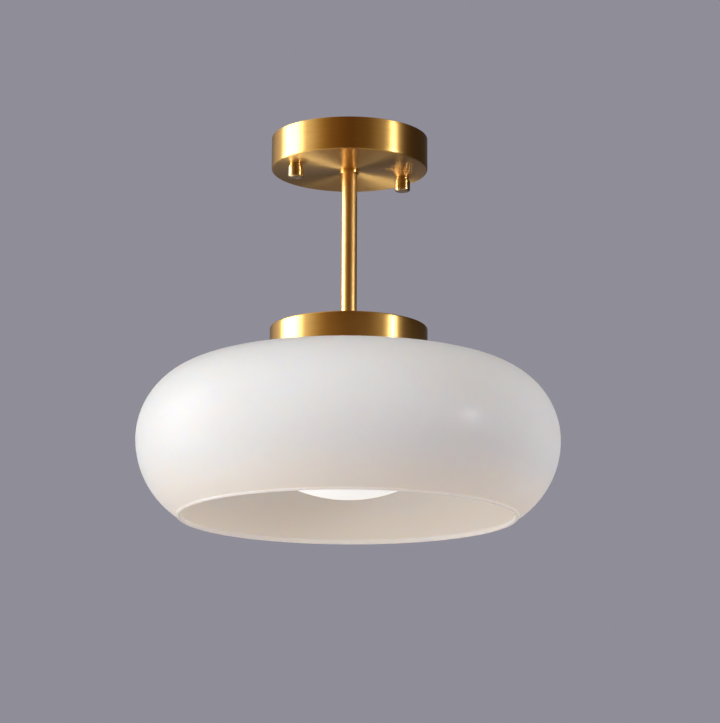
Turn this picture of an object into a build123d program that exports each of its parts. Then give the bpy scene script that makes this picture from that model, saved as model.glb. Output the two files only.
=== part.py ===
"""Glass ceiling light: a brass canopy, rod and cap that carry an opal glass shade and a lamp.

Millimetres, +Z up. The origin is the middle of the bracket face that lies on the ceiling,
so every piece hangs below z = 0. The two bracket studs lie along X.
"""

import os
from math import acos, asin, atan2, cos, degrees, sin, tan

from build123d import *

os.makedirs("parts", exist_ok=True)

# Brass cups: the canopy at the ceiling and the cap on the shade
CANOPY_DIAMETER = 120.0
CANOPY_HEIGHT = 25.0
CAP_DIAMETER = 120.0
CAP_HEIGHT = 25.0
SHEET_THICKNESS = 1.0
CUP_EDGE_RADIUS = 1.2

# Rod between the cups, with its threaded ends
STEM_DROP = 125.0
ROD_DIAMETER = 12.0
COLLAR_DIAMETER = 15.0
COLLAR_HEIGHT = 3.0
COLLAR_EDGE_RADIUS = 0.8
NIPPLE_DIAMETER = 10.0
NIPPLE_BORE = 7.0
NIPPLE_ENGAGEMENT = 12.0
NIPPLE_END = 1.5
THREAD_CLEARANCE = 0.05
HEX_NUT_WIDTH = 14.0
HEX_NUT_HEIGHT = 3.5
LOCK_WASHER_DIAMETER = 18.0
LOCK_WASHER_THICKNESS = 1.0
LOCK_WASHER_TEETH = 12
LOCK_WASHER_NOTCH = 2.0

# Ceiling bracket and its screws
STUD_INSET = 15.0
STUD_DIAMETER = 4.0
STUD_LENGTH = 30.0
STUD_HEAD_DIAMETER = 7.0
STUD_HEAD_HEIGHT = 2.6
STUD_HOLE_CLEARANCE = 0.5
STUD_SLOT_WIDTH = 1.0
STUD_SLOT_DEPTH = 1.2
BAR_END_MARGIN = 5.5
BAR_WIDTH = 20.0
BAR_THICKNESS = 2.0
BAR_STEP = 4.0
BAR_STEP_RUN = 3.0
BAR_STEP_MARGIN = 1.0
BAR_CORNER_RADIUS = 3.0
SLOT_SPACING = 54.0
SLOT_LENGTH = 16.0
SLOT_WIDTH = 5.0
CABLE_HOLE_DIAMETER = 14.0
LOCKNUT_WIDTH = 7.0
LOCKNUT_HEIGHT = 3.2
EARTH_SCREW_X = 13.0
EARTH_SCREW_DIAMETER = 4.0
EARTH_HEAD_DIAMETER = 8.0
EARTH_HEAD_HEIGHT = 2.6
EARTH_WASHER_DIAMETER = 9.0
EARTH_WASHER_THICKNESS = 0.8

# Turned nuts that hold the canopy up
CAP_NUT_DIAMETER = 12.0
CAP_NUT_HEIGHT = 11.0
CAP_NUT_NECK_DIAMETER = 10.2
CAP_NUT_NECK_HEIGHT = 2.4
CAP_NUT_EDGE_RADIUS = 1.5
CAP_NUT_TIP_GAP = 0.6

# Earth tag under the canopy's hexagon nut
EARTH_TAG_DIAMETER = 18.0
EARTH_TAG_THICKNESS = 0.8
EARTH_TAG_REACH = 17.0
EARTH_TAG_WIDTH = 6.0
CRIMP_DIAMETER = 3.4
CRIMP_LENGTH = 5.0

# Terminal block on the canopy floor
BLOCK_WIDTH = 26.0
BLOCK_DEPTH = 16.0
BLOCK_HEIGHT = 12.0
BLOCK_Y = -28.0
PAD_THICKNESS = 1.0
POLE_SPACING = 8.0
POLE_LEVEL = 5.0
INSERT_DIAMETER = 4.4
INSERT_BORE = 2.8
TERMINAL_SCREW_DIAMETER = 2.4
TERMINAL_SCREW_HEIGHT = 4.0
TERMINAL_SCREW_PITCH = 8.0
TERMINAL_SLOT_WIDTH = 0.6
TERMINAL_SLOT_DEPTH = 0.7
BLOCK_CLEARANCE = 0.05

# Wires inside the rod
WIRE_DIAMETER = 2.2
WIRE_GAP = 0.6
WIRE_BEND = 4.0
WIRE_INSERT = 3.0
WIRE_LEAD = 3.0
WIRE_RISE = 6.0
HOLDER_BEND = 3.2
WIRE_EXIT = 4.4

# Lampholder inside the cap
HOLDER_DIAMETER = 39.6
HOLDER_WALL = 1.4
HOLDER_ENTRY_DIAMETER = 17.0
HOLDER_ENTRY_HEIGHT = 8.0
HOLDER_ENTRY_BOSS = 6.0
HOLDER_DOME_DROP = 7.5
HOLDER_WIRING_SPACE = 12.5
SPIGOT_HEIGHT = 4.0
SPIGOT_WALL = 1.0
SLEEVE_LENGTH = 35.0
SLEEVE_LIP_HEIGHT = 3.0
SLEEVE_THREAD_PITCH = 2.5
SLEEVE_THREAD_DEPTH = 0.6
SLEEVE_THREAD_START = 4.0
SLEEVE_THREAD_COUNT = 10
CORE_HEIGHT = 10.0
CORE_OVERLAP = 2.0
CORE_CLEARANCE = 0.2
SHELL_THICKNESS = 0.5
SHELL_LENGTH = 23.0
SHELL_FLANGE_WIDTH = 2.0
LAMP_THREAD_CLEARANCE = 0.08
MOUTH_CLEARANCE = 1.8
POST_SIZE = 6.0
POST_HEIGHT = 4.0
POST_X = 9.0
POST_BORE = 2.8
POST_FLOOR = 1.0
POST_SCREW_DIAMETER = 2.4
POST_SCREW_HEAD_DIAMETER = 3.6
POST_SCREW_HEAD_HEIGHT = 1.6
CONTACT_WIDTH = 6.0
CONTACT_THICKNESS = 0.5
CONTACT_DROP = 2.3
CONTACT_REACH = 7.0

# Glass shade and what clamps it
SHADE_DIAMETER = 320.0
SHADE_MOUTH_DIAMETER = 257.0
SHADE_WALL = 3.0
SHADE_LIP_FILLET = 0.5
SHADE_BROW_FILLET = 1.5
SHADE_FLAT_DIAMETER = 129.0
CROWN_RADIUS = 227.0
SHOULDER_RADIUS = 57.0
LOWER_RADIUS = 67.0
SHADE_HOLE_CLEARANCE = 1.2
CAP_GASKET_THICKNESS = 1.0
CAP_GASKET_WIDTH = 3.2
CAP_GASKET_LIP = 3.0
CAP_GASKET_LIP_WIDTH = 1.2
GASKET_CLEARANCE = 0.1
RING_GASKET_THICKNESS = 1.5
RING_GASKET_CLEARANCE = 1.6
RING_FLANGE_DIAMETER = 58.0
RING_FLANGE_HEIGHT = 3.0
RING_HUB_DIAMETER = 47.0
RING_HEIGHT = 12.0
RING_GRIPS = 16
RING_GRIP_RADIUS = 1.6

# Lamp with a screw base
LAMP_THREAD_DIAMETER = 26.2
LAMP_THREAD_PITCH = 3.629
LAMP_THREAD_DEPTH = 1.0
LAMP_THREAD_TURNS = 4
LAMP_CAP_LENGTH = 20.0
LAMP_CAP_WALL = 0.7
LAMP_TIP_DIAMETER = 10.0
LAMP_TIP_HEIGHT = 1.6
LAMP_INSULATOR_TOP_DIAMETER = 13.0
LAMP_INSULATOR_HEIGHT = 4.0
LAMP_CONTACT_GAP = 0.3
LAMP_DIAMETER = 116.0
LAMP_DOME_RADIUS = 106.4
LAMP_EDGE_RADIUS = 14.0
LAMP_SIDE_HEIGHT = 6.0
LAMP_BOTTOM_ABOVE_MOUTH = 15.5
LAMP_WALL = 1.6
LAMP_SEAM_GAP = 0.3
LAMP_LIP_HEIGHT = 4.0
LAMP_NECK_DIAMETER = 28.0
LAMP_NECK_LENGTH = 4.0
LAMP_PLUG_LENGTH = 6.0
LAMP_PLUG_CLEARANCE = 0.05
LAMP_SHOULDER_HEIGHT = 4.0
LED_BOARD_THICKNESS = 1.6
LED_BOARD_GAP = 0.2
LED_COUNT = 24
LED_SIZE = 2.8
LED_HEIGHT = 0.8
LED_CIRCLE_DIAMETER = 76.0
DRIVER_WIDTH = 16.0
DRIVER_THICKNESS = 1.6
DRIVER_HEIGHT = 22.0
COIL_SIZE = 7.0
CAPACITOR_DIAMETER = 6.0
CAPACITOR_HEIGHT = 9.0

# Radii and levels that follow from the sizes above
nipple_radius = NIPPLE_DIAMETER / 2
thread_hole_radius = nipple_radius + THREAD_CLEARANCE
stud_radius = STUD_DIAMETER / 2
stud_x = CANOPY_DIAMETER / 2 - STUD_INSET
canopy_radius = CANOPY_DIAMETER / 2
cap_radius = CAP_DIAMETER / 2

z_bar_end = -BAR_STEP
z_canopy_under = -CANOPY_HEIGHT
z_canopy_floor = z_canopy_under + SHEET_THICKNESS
z_tag_top = z_canopy_floor + EARTH_TAG_THICKNESS
z_upper_nut = z_tag_top + LOCK_WASHER_THICKNESS
z_upper_nut_top = z_upper_nut + HEX_NUT_HEIGHT
z_upper_nipple_top = z_upper_nut_top + NIPPLE_END
z_rod_top = z_canopy_under - COLLAR_HEIGHT
z_cap_top = z_canopy_under - STEM_DROP
z_rod_bottom = z_cap_top + COLLAR_HEIGHT
z_cap_ceiling = z_cap_top - SHEET_THICKNESS
z_cap_rim = z_cap_top - CAP_HEIGHT
z_lower_nut_top = z_cap_ceiling - LOCK_WASHER_THICKNESS
z_holder_top = z_lower_nut_top - HEX_NUT_HEIGHT
z_entry_bottom = z_holder_top - HOLDER_ENTRY_HEIGHT
z_core_top = z_entry_bottom - HOLDER_WIRING_SPACE
z_core_bottom = z_core_top - CORE_HEIGHT
z_skirt = z_core_top - CORE_OVERLAP
z_sleeve_mouth = z_skirt - SLEEVE_LENGTH
z_shell_mouth = z_core_bottom - SHELL_LENGTH
z_contact = z_core_bottom - CONTACT_DROP

holder_radius = HOLDER_DIAMETER / 2
skirt_inner_radius = holder_radius - HOLDER_WALL
spigot_radius = skirt_inner_radius - THREAD_CLEARANCE
sleeve_inner_radius = spigot_radius - SPIGOT_WALL
core_radius = sleeve_inner_radius - CORE_CLEARANCE
lamp_thread_radius = LAMP_THREAD_DIAMETER / 2
shell_inner_radius = lamp_thread_radius + LAMP_THREAD_CLEARANCE
shell_radius = shell_inner_radius + SHELL_THICKNESS
mouth_radius = shell_inner_radius + MOUTH_CLEARANCE

# Glass profile: a flat seat, then crown, shoulder and lower arcs that meet at common tangents
shade_radius = SHADE_DIAMETER / 2
shade_mouth_radius = SHADE_MOUTH_DIAMETER / 2
shade_flat_radius = SHADE_FLAT_DIAMETER / 2
shade_hole_radius = holder_radius + SHADE_HOLE_CLEARANCE
z_shade_top = z_cap_rim - CAP_GASKET_THICKNESS
shoulder_x = shade_radius - SHOULDER_RADIUS
lower_x = shade_radius - LOWER_RADIUS
crown_angle = asin((shoulder_x - shade_flat_radius) / (CROWN_RADIUS - SHOULDER_RADIUS))
z_crown_centre = z_shade_top - CROWN_RADIUS
z_widest = z_crown_centre + (CROWN_RADIUS - SHOULDER_RADIUS) * cos(crown_angle)
lip_radius = SHADE_WALL / 2
lip_x = shade_mouth_radius - lip_radius
fillet_x = shade_mouth_radius + SHADE_LIP_FILLET
fillet_reach = LOWER_RADIUS + SHADE_LIP_FILLET
fillet_angle = acos((fillet_x - lower_x) / fillet_reach)
z_lip = z_widest - fillet_reach * sin(fillet_angle)
z_rim = z_lip - lip_radius
z_shade_inside = z_shade_top - SHADE_WALL
z_ring_top = z_shade_inside - RING_GASKET_THICKNESS
z_ring_bottom = z_ring_top - RING_HEIGHT

# Lamp levels, from the holder contact down and from the shade mouth up
z_lamp_top = z_contact - LAMP_CONTACT_GAP
z_insulator_top = z_lamp_top - LAMP_TIP_HEIGHT
z_lamp_cap_top = z_insulator_top - LAMP_INSULATOR_HEIGHT
z_lamp_cap_bottom = z_lamp_cap_top - LAMP_CAP_LENGTH
z_lamp_bottom = z_rim + LAMP_BOTTOM_ABOVE_MOUTH
lamp_radius = LAMP_DIAMETER / 2
lamp_edge_x = lamp_radius - LAMP_EDGE_RADIUS
z_dome_centre = z_lamp_bottom + LAMP_DOME_RADIUS
dome_angle = asin(lamp_edge_x / (LAMP_DOME_RADIUS - LAMP_EDGE_RADIUS))
z_lamp_edge = z_dome_centre - (LAMP_DOME_RADIUS - LAMP_EDGE_RADIUS) * cos(dome_angle)
z_seam = z_lamp_edge + LAMP_SIDE_HEIGHT
lamp_lip_radius = lamp_radius - LAMP_WALL - LAMP_SEAM_GAP
lip_inner_radius = lamp_lip_radius - LAMP_WALL
z_lip_bottom = z_seam - LAMP_LIP_HEIGHT
z_lamp_neck = z_lamp_cap_bottom - LAMP_NECK_LENGTH
z_lamp_shoulder = z_seam + LAMP_SHOULDER_HEIGHT
lamp_neck_radius = LAMP_NECK_DIAMETER / 2
lamp_cap_inner_radius = lamp_thread_radius - LAMP_THREAD_DEPTH - LAMP_CAP_WALL
lamp_plug_radius = lamp_cap_inner_radius - LAMP_PLUG_CLEARANCE
lamp_plug_bore_radius = lamp_plug_radius - LAMP_WALL

# Terminal block levels and wire routes
z_block_bottom = z_canopy_floor + PAD_THICKNESS
z_block_top = z_block_bottom + BLOCK_HEIGHT
z_pole = z_block_bottom + POLE_LEVEL
block_front_y = BLOCK_Y + BLOCK_DEPTH / 2
wire_radius = WIRE_DIAMETER / 2
wire_x = (WIRE_DIAMETER + WIRE_GAP) / 2
z_post_top = z_core_top + POST_HEIGHT
z_wire_end = z_core_top + 2 * POST_FLOOR
z_wire_turn = z_entry_bottom - WIRE_EXIT
z_wire_crest = z_pole + WIRE_RISE
z_crimp = z_canopy_floor + CRIMP_DIAMETER / 2
wire_start_y = block_front_y - WIRE_INSERT

# Ceiling bracket: a strap whose ends step down to leave room for the stud heads
bar_end_x = stud_x + BAR_END_MARGIN
step_outer_x = stud_x - STUD_HEAD_DIAMETER / 2 - BAR_STEP_MARGIN
step_inner_x = step_outer_x - BAR_STEP_RUN
step_shift = BAR_THICKNESS * tan(atan2(BAR_STEP, BAR_STEP_RUN) / 2)
with BuildPart() as mounting_bracket:
    with BuildSketch(Plane.XZ.offset(-BAR_WIDTH / 2)):
        with BuildLine():
            Polyline(
                (-bar_end_x, z_bar_end),
                (-step_outer_x, z_bar_end),
                (-step_inner_x, 0),
                (step_inner_x, 0),
                (step_outer_x, z_bar_end),
                (bar_end_x, z_bar_end),
                (bar_end_x, z_bar_end - BAR_THICKNESS),
                (step_outer_x - step_shift, z_bar_end - BAR_THICKNESS),
                (step_inner_x - step_shift, -BAR_THICKNESS),
                (step_shift - step_inner_x, -BAR_THICKNESS),
                (step_shift - step_outer_x, z_bar_end - BAR_THICKNESS),
                (-bar_end_x, z_bar_end - BAR_THICKNESS),
                close=True,
            )
        make_face()
    extrude(amount=BAR_WIDTH)
    end_edges = mounting_bracket.edges().filter_by(Axis.Z)
    fillet(end_edges, BAR_CORNER_RADIUS)
    with BuildSketch(Plane.XY):
        with Locations((-SLOT_SPACING / 2, 0), (SLOT_SPACING / 2, 0)):
            SlotOverall(SLOT_LENGTH, SLOT_WIDTH)
    extrude(amount=-BAR_THICKNESS, mode=Mode.SUBTRACT)
    with Locations((0, 0, 0)):
        Hole(CABLE_HOLE_DIAMETER / 2)
    with Locations((-stud_x, 0, z_bar_end), (stud_x, 0, z_bar_end)):
        Hole(stud_radius + THREAD_CLEARANCE)
    with Locations((EARTH_SCREW_X, 0, 0)):
        Hole(EARTH_SCREW_DIAMETER / 2 + THREAD_CLEARANCE)
mounting_bracket.part.label = "mounting_bracket"
export_step(mounting_bracket.part, "parts/mounting_bracket.step")

# Two pan head screws that hang through the bracket ends as studs
with BuildPart() as bracket_studs:
    with BuildSketch(Plane.XY.offset(z_bar_end)):
        with Locations((-stud_x, 0), (stud_x, 0)):
            Circle(stud_radius)
    extrude(amount=-STUD_LENGTH)
    with BuildSketch(Plane.XY.offset(z_bar_end)):
        with Locations((-stud_x, 0), (stud_x, 0)):
            Circle(STUD_HEAD_DIAMETER / 2)
    extrude(amount=STUD_HEAD_HEIGHT)
    with BuildSketch(Plane.XY.offset(z_bar_end + STUD_HEAD_HEIGHT)):
        with Locations((-stud_x, 0), (stud_x, 0)):
            Rectangle(STUD_HEAD_DIAMETER, STUD_SLOT_WIDTH)
    extrude(amount=-STUD_SLOT_DEPTH, mode=Mode.SUBTRACT)
bracket_studs.part.label = "bracket_studs"
export_step(bracket_studs.part, "parts/bracket_studs.step")

# Hexagon nuts that lock the studs to the bracket
with BuildPart() as stud_locknuts:
    with BuildSketch(Plane.XY.offset(z_bar_end - BAR_THICKNESS)):
        with Locations((-stud_x, 0), (stud_x, 0)):
            RegularPolygon(LOCKNUT_WIDTH / 2, 6, major_radius=False)
            Circle(stud_radius + THREAD_CLEARANCE, mode=Mode.SUBTRACT)
    extrude(amount=-LOCKNUT_HEIGHT)
stud_locknuts.part.label = "stud_locknuts"
export_step(stud_locknuts.part, "parts/stud_locknuts.step")

# Earth screw of the bracket, with its washer made on
with BuildPart() as earth_screw:
    with BuildSketch(Plane.XY):
        with Locations((EARTH_SCREW_X, 0)):
            Circle(EARTH_SCREW_DIAMETER / 2)
    extrude(amount=-BAR_THICKNESS)
    with BuildSketch(Plane.XY.offset(-BAR_THICKNESS)):
        with Locations((EARTH_SCREW_X, 0)):
            Circle(EARTH_WASHER_DIAMETER / 2)
    extrude(amount=-EARTH_WASHER_THICKNESS)
    with BuildSketch(Plane.XY.offset(-BAR_THICKNESS - EARTH_WASHER_THICKNESS)):
        with Locations((EARTH_SCREW_X, 0)):
            Circle(EARTH_HEAD_DIAMETER / 2)
    extrude(amount=-EARTH_HEAD_HEIGHT)
    with BuildSketch(Plane.XY.offset(-BAR_THICKNESS - EARTH_WASHER_THICKNESS - EARTH_HEAD_HEIGHT)):
        with Locations((EARTH_SCREW_X, 0)):
            Rectangle(EARTH_HEAD_DIAMETER, STUD_SLOT_WIDTH)
    extrude(amount=STUD_SLOT_DEPTH, mode=Mode.SUBTRACT)
earth_screw.part.label = "earth_screw"
export_step(earth_screw.part, "parts/earth_screw.step")

# Canopy: a brass cup, open at the ceiling
with BuildPart() as canopy:
    with BuildSketch(Plane.XY):
        Circle(canopy_radius)
    extrude(amount=-CANOPY_HEIGHT)
    fillet(canopy.edges().sort_by(Axis.Z)[0], CUP_EDGE_RADIUS)
    with BuildSketch(Plane.XY):
        Circle(canopy_radius - SHEET_THICKNESS)
    extrude(amount=SHEET_THICKNESS - CANOPY_HEIGHT, mode=Mode.SUBTRACT)
    with Locations((0, 0, z_canopy_floor)):
        Hole(thread_hole_radius)
    with Locations((-stud_x, 0, z_canopy_floor), (stud_x, 0, z_canopy_floor)):
        Hole(stud_radius + STUD_HOLE_CLEARANCE)
canopy.part.label = "canopy"
export_step(canopy.part, "parts/canopy.step")

# The two turned nuts on the stud ends, each a blind barrel with a narrower neck
cap_nut_bore_depth = z_canopy_under - z_bar_end + STUD_LENGTH + CAP_NUT_TIP_GAP
with BuildPart() as cap_nut_near:
    with BuildSketch(Plane.XY.offset(z_canopy_under)):
        with Locations((-stud_x, 0)):
            Circle(CAP_NUT_NECK_DIAMETER / 2)
    extrude(amount=-CAP_NUT_NECK_HEIGHT)
    with BuildSketch(Plane.XY.offset(z_canopy_under - CAP_NUT_NECK_HEIGHT)):
        with Locations((-stud_x, 0)):
            Circle(CAP_NUT_DIAMETER / 2)
    extrude(amount=CAP_NUT_NECK_HEIGHT - CAP_NUT_HEIGHT)
    fillet(cap_nut_near.edges().sort_by(Axis.Z)[0], CAP_NUT_EDGE_RADIUS)
    with Locations((-stud_x, 0, z_canopy_under)):
        Hole(stud_radius + THREAD_CLEARANCE, depth=cap_nut_bore_depth)
cap_nut_near.part.label = "cap_nut_near"
export_step(cap_nut_near.part, "parts/cap_nut_near.step")

with BuildPart() as cap_nut_far:
    with BuildSketch(Plane.XY.offset(z_canopy_under)):
        with Locations((stud_x, 0)):
            Circle(CAP_NUT_NECK_DIAMETER / 2)
    extrude(amount=-CAP_NUT_NECK_HEIGHT)
    with BuildSketch(Plane.XY.offset(z_canopy_under - CAP_NUT_NECK_HEIGHT)):
        with Locations((stud_x, 0)):
            Circle(CAP_NUT_DIAMETER / 2)
    extrude(amount=CAP_NUT_NECK_HEIGHT - CAP_NUT_HEIGHT)
    fillet(cap_nut_far.edges().sort_by(Axis.Z)[0], CAP_NUT_EDGE_RADIUS)
    with Locations((stud_x, 0, z_canopy_under)):
        Hole(stud_radius + THREAD_CLEARANCE, depth=cap_nut_bore_depth)
cap_nut_far.part.label = "cap_nut_far"
export_step(cap_nut_far.part, "parts/cap_nut_far.step")

# Rod: a brass tube tapped at both ends
with BuildPart() as stem_rod:
    with BuildSketch(Plane.XY.offset(z_rod_top)):
        Circle(ROD_DIAMETER / 2)
        Circle(thread_hole_radius, mode=Mode.SUBTRACT)
    extrude(amount=z_rod_bottom - z_rod_top)
stem_rod.part.label = "stem_rod"
export_step(stem_rod.part, "parts/stem_rod.step")

# Collars between the rod ends and the two cups
with BuildPart() as stem_collars:
    with BuildSketch(Plane.XY.offset(z_canopy_under)):
        Circle(COLLAR_DIAMETER / 2)
    extrude(amount=-COLLAR_HEIGHT)
    with BuildSketch(Plane.XY.offset(z_cap_top)):
        Circle(COLLAR_DIAMETER / 2)
    extrude(amount=COLLAR_HEIGHT)
    rod_side_edges = stem_collars.edges().filter_by(GeomType.CIRCLE).sort_by(Axis.Z)[1:3]
    fillet(rod_side_edges, COLLAR_EDGE_RADIUS)
    with Locations((0, 0, z_canopy_under)):
        Hole(thread_hole_radius)
stem_collars.part.label = "stem_collars"
export_step(stem_collars.part, "parts/stem_collars.step")

# Hollow threaded nipples that join the rod to the canopy and to the lampholder
with BuildPart() as upper_nipple:
    with BuildSketch(Plane.XY.offset(z_upper_nipple_top)):
        Circle(nipple_radius)
        Circle(NIPPLE_BORE / 2, mode=Mode.SUBTRACT)
    extrude(amount=z_rod_top - NIPPLE_ENGAGEMENT - z_upper_nipple_top)
upper_nipple.part.label = "upper_nipple"
export_step(upper_nipple.part, "parts/upper_nipple.step")

with BuildPart() as lower_nipple:
    with BuildSketch(Plane.XY.offset(z_rod_bottom + NIPPLE_ENGAGEMENT)):
        Circle(nipple_radius)
        Circle(NIPPLE_BORE / 2, mode=Mode.SUBTRACT)
    extrude(amount=z_entry_bottom - z_rod_bottom - NIPPLE_ENGAGEMENT)
lower_nipple.part.label = "lower_nipple"
export_step(lower_nipple.part, "parts/lower_nipple.step")

# Toothed lock washers under the two hexagon nuts
with BuildPart() as stem_lock_washers:
    with BuildSketch(Plane.XY.offset(z_tag_top), Plane.XY.offset(z_lower_nut_top)):
        Circle(LOCK_WASHER_DIAMETER / 2)
        Circle(thread_hole_radius, mode=Mode.SUBTRACT)
        with PolarLocations(LOCK_WASHER_DIAMETER / 2, LOCK_WASHER_TEETH):
            Rectangle(LOCK_WASHER_NOTCH, LOCK_WASHER_NOTCH, mode=Mode.SUBTRACT)
    extrude(amount=LOCK_WASHER_THICKNESS)
stem_lock_washers.part.label = "stem_lock_washers"
export_step(stem_lock_washers.part, "parts/stem_lock_washers.step")

with BuildPart() as stem_hex_nuts:
    with BuildSketch(Plane.XY.offset(z_upper_nut), Plane.XY.offset(z_holder_top)):
        RegularPolygon(HEX_NUT_WIDTH / 2, 6, major_radius=False)
        Circle(thread_hole_radius, mode=Mode.SUBTRACT)
    extrude(amount=HEX_NUT_HEIGHT)
stem_hex_nuts.part.label = "stem_hex_nuts"
export_step(stem_hex_nuts.part, "parts/stem_hex_nuts.step")

# Earth tag: a ring clamped on the canopy floor, with a tongue and a crimp for the earth wire
with BuildPart() as earth_tag:
    with BuildSketch(Plane.XY.offset(z_canopy_floor)):
        Circle(EARTH_TAG_DIAMETER / 2)
        with Locations((EARTH_TAG_REACH / 2, 0)):
            Rectangle(EARTH_TAG_REACH, EARTH_TAG_WIDTH)
        Circle(thread_hole_radius, mode=Mode.SUBTRACT)
    extrude(amount=EARTH_TAG_THICKNESS)
    with BuildSketch(Plane.YZ.offset(EARTH_TAG_REACH)):
        with Locations((0, z_crimp)):
            Circle(CRIMP_DIAMETER / 2)
    extrude(amount=-CRIMP_LENGTH)
    with BuildSketch(Plane.YZ.offset(EARTH_TAG_REACH)):
        with Locations((0, z_crimp)):
            Circle(wire_radius + BLOCK_CLEARANCE)
    extrude(amount=-CRIMP_LENGTH, mode=Mode.SUBTRACT)
earth_tag.part.label = "earth_tag"
export_step(earth_tag.part, "parts/earth_tag.step")

# Terminal block with its pad, brass inserts and clamp screws
with BuildPart() as terminal_pad:
    with BuildSketch(Plane.XY.offset(z_canopy_floor)):
        with Locations((0, BLOCK_Y)):
            Rectangle(BLOCK_WIDTH, BLOCK_DEPTH)
    extrude(amount=PAD_THICKNESS)
terminal_pad.part.label = "terminal_pad"
export_step(terminal_pad.part, "parts/terminal_pad.step")

pole_points = [(-POLE_SPACING, z_pole), (0, z_pole), (POLE_SPACING, z_pole)]
with BuildPart() as terminal_block:
    with BuildSketch(Plane.XY.offset(z_block_bottom)):
        with Locations((0, BLOCK_Y)):
            Rectangle(BLOCK_WIDTH, BLOCK_DEPTH)
    extrude(amount=BLOCK_HEIGHT)
    with BuildSketch(Plane.XZ.offset(-block_front_y)):
        with Locations(*pole_points):
            Circle(INSERT_DIAMETER / 2 + BLOCK_CLEARANCE)
    extrude(amount=BLOCK_DEPTH, mode=Mode.SUBTRACT)
    with BuildSketch(Plane.XY.offset(z_block_top)):
        with Locations((0, BLOCK_Y)):
            with GridLocations(POLE_SPACING, TERMINAL_SCREW_PITCH, 3, 2):
                Circle(TERMINAL_SCREW_DIAMETER / 2 + BLOCK_CLEARANCE)
    extrude(amount=z_pole - z_block_top, mode=Mode.SUBTRACT)
terminal_block.part.label = "terminal_block"
export_step(terminal_block.part, "parts/terminal_block.step")

with BuildPart() as terminal_inserts:
    with BuildSketch(Plane.XZ.offset(-block_front_y)):
        with Locations(*pole_points):
            Circle(INSERT_DIAMETER / 2)
            Circle(INSERT_BORE / 2, mode=Mode.SUBTRACT)
    extrude(amount=BLOCK_DEPTH)
    with BuildSketch(Plane.XY.offset(z_block_top)):
        with Locations((0, BLOCK_Y)):
            with GridLocations(POLE_SPACING, TERMINAL_SCREW_PITCH, 3, 2):
                Circle(TERMINAL_SCREW_DIAMETER / 2 + BLOCK_CLEARANCE)
    extrude(amount=z_pole - z_block_top, mode=Mode.SUBTRACT)
terminal_inserts.part.label = "terminal_inserts"
export_step(terminal_inserts.part, "parts/terminal_inserts.step")

z_screw_foot = z_pole + wire_radius + BLOCK_CLEARANCE
with BuildPart() as terminal_screws:
    with BuildSketch(Plane.XY.offset(z_screw_foot)):
        with Locations((0, BLOCK_Y)):
            with GridLocations(POLE_SPACING, TERMINAL_SCREW_PITCH, 3, 2):
                Circle(TERMINAL_SCREW_DIAMETER / 2)
    extrude(amount=TERMINAL_SCREW_HEIGHT)
    with BuildSketch(Plane.XY.offset(z_screw_foot + TERMINAL_SCREW_HEIGHT)):
        with Locations((0, BLOCK_Y)):
            with GridLocations(POLE_SPACING, TERMINAL_SCREW_PITCH, 3, 2):
                Rectangle(TERMINAL_SCREW_DIAMETER, TERMINAL_SLOT_WIDTH)
    extrude(amount=-TERMINAL_SLOT_DEPTH, mode=Mode.SUBTRACT)
terminal_screws.part.label = "terminal_screws"
export_step(terminal_screws.part, "parts/terminal_screws.step")

# Line and neutral wires from the block, over the nipple, down the rod to the lampholder
with BuildPart() as line_wire:
    with BuildLine() as line_route:
        FilletPolyline(
            (-POLE_SPACING, wire_start_y, z_pole),
            (-POLE_SPACING, block_front_y + WIRE_LEAD, z_pole),
            (-wire_x, 0, z_wire_crest),
            (-wire_x, 0, z_wire_turn + HOLDER_BEND + WIRE_GAP),
            radius=WIRE_BEND,
        )
    with BuildSketch(Plane(origin=line_route.line @ 0, z_dir=line_route.line % 0)):
        Circle(wire_radius)
    sweep(path=line_route.line)
    with BuildLine() as line_end:
        FilletPolyline(
            (-wire_x, 0, z_wire_turn + HOLDER_BEND + WIRE_GAP),
            (-wire_x, 0, z_wire_turn),
            (-POST_X, 0, z_wire_turn),
            (-POST_X, 0, z_wire_end),
            radius=HOLDER_BEND,
        )
    with BuildSketch(Plane(origin=line_end.line @ 0, z_dir=line_end.line % 0)):
        Circle(wire_radius)
    sweep(path=line_end.line)
line_wire.part.label = "line_wire"
export_step(line_wire.part, "parts/line_wire.step")

with BuildPart() as neutral_wire:
    with BuildLine() as neutral_route:
        FilletPolyline(
            (0, wire_start_y, z_pole),
            (0, block_front_y + WIRE_LEAD, z_pole),
            (wire_x, 0, z_wire_crest),
            (wire_x, 0, z_wire_turn + HOLDER_BEND + WIRE_GAP),
            radius=WIRE_BEND,
        )
    with BuildSketch(Plane(origin=neutral_route.line @ 0, z_dir=neutral_route.line % 0)):
        Circle(wire_radius)
    sweep(path=neutral_route.line)
    with BuildLine() as neutral_end:
        FilletPolyline(
            (wire_x, 0, z_wire_turn + HOLDER_BEND + WIRE_GAP),
            (wire_x, 0, z_wire_turn),
            (POST_X, 0, z_wire_turn),
            (POST_X, 0, z_wire_end),
            radius=HOLDER_BEND,
        )
    with BuildSketch(Plane(origin=neutral_end.line @ 0, z_dir=neutral_end.line % 0)):
        Circle(wire_radius)
    sweep(path=neutral_end.line)
neutral_wire.part.label = "neutral_wire"
export_step(neutral_wire.part, "parts/neutral_wire.step")

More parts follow.
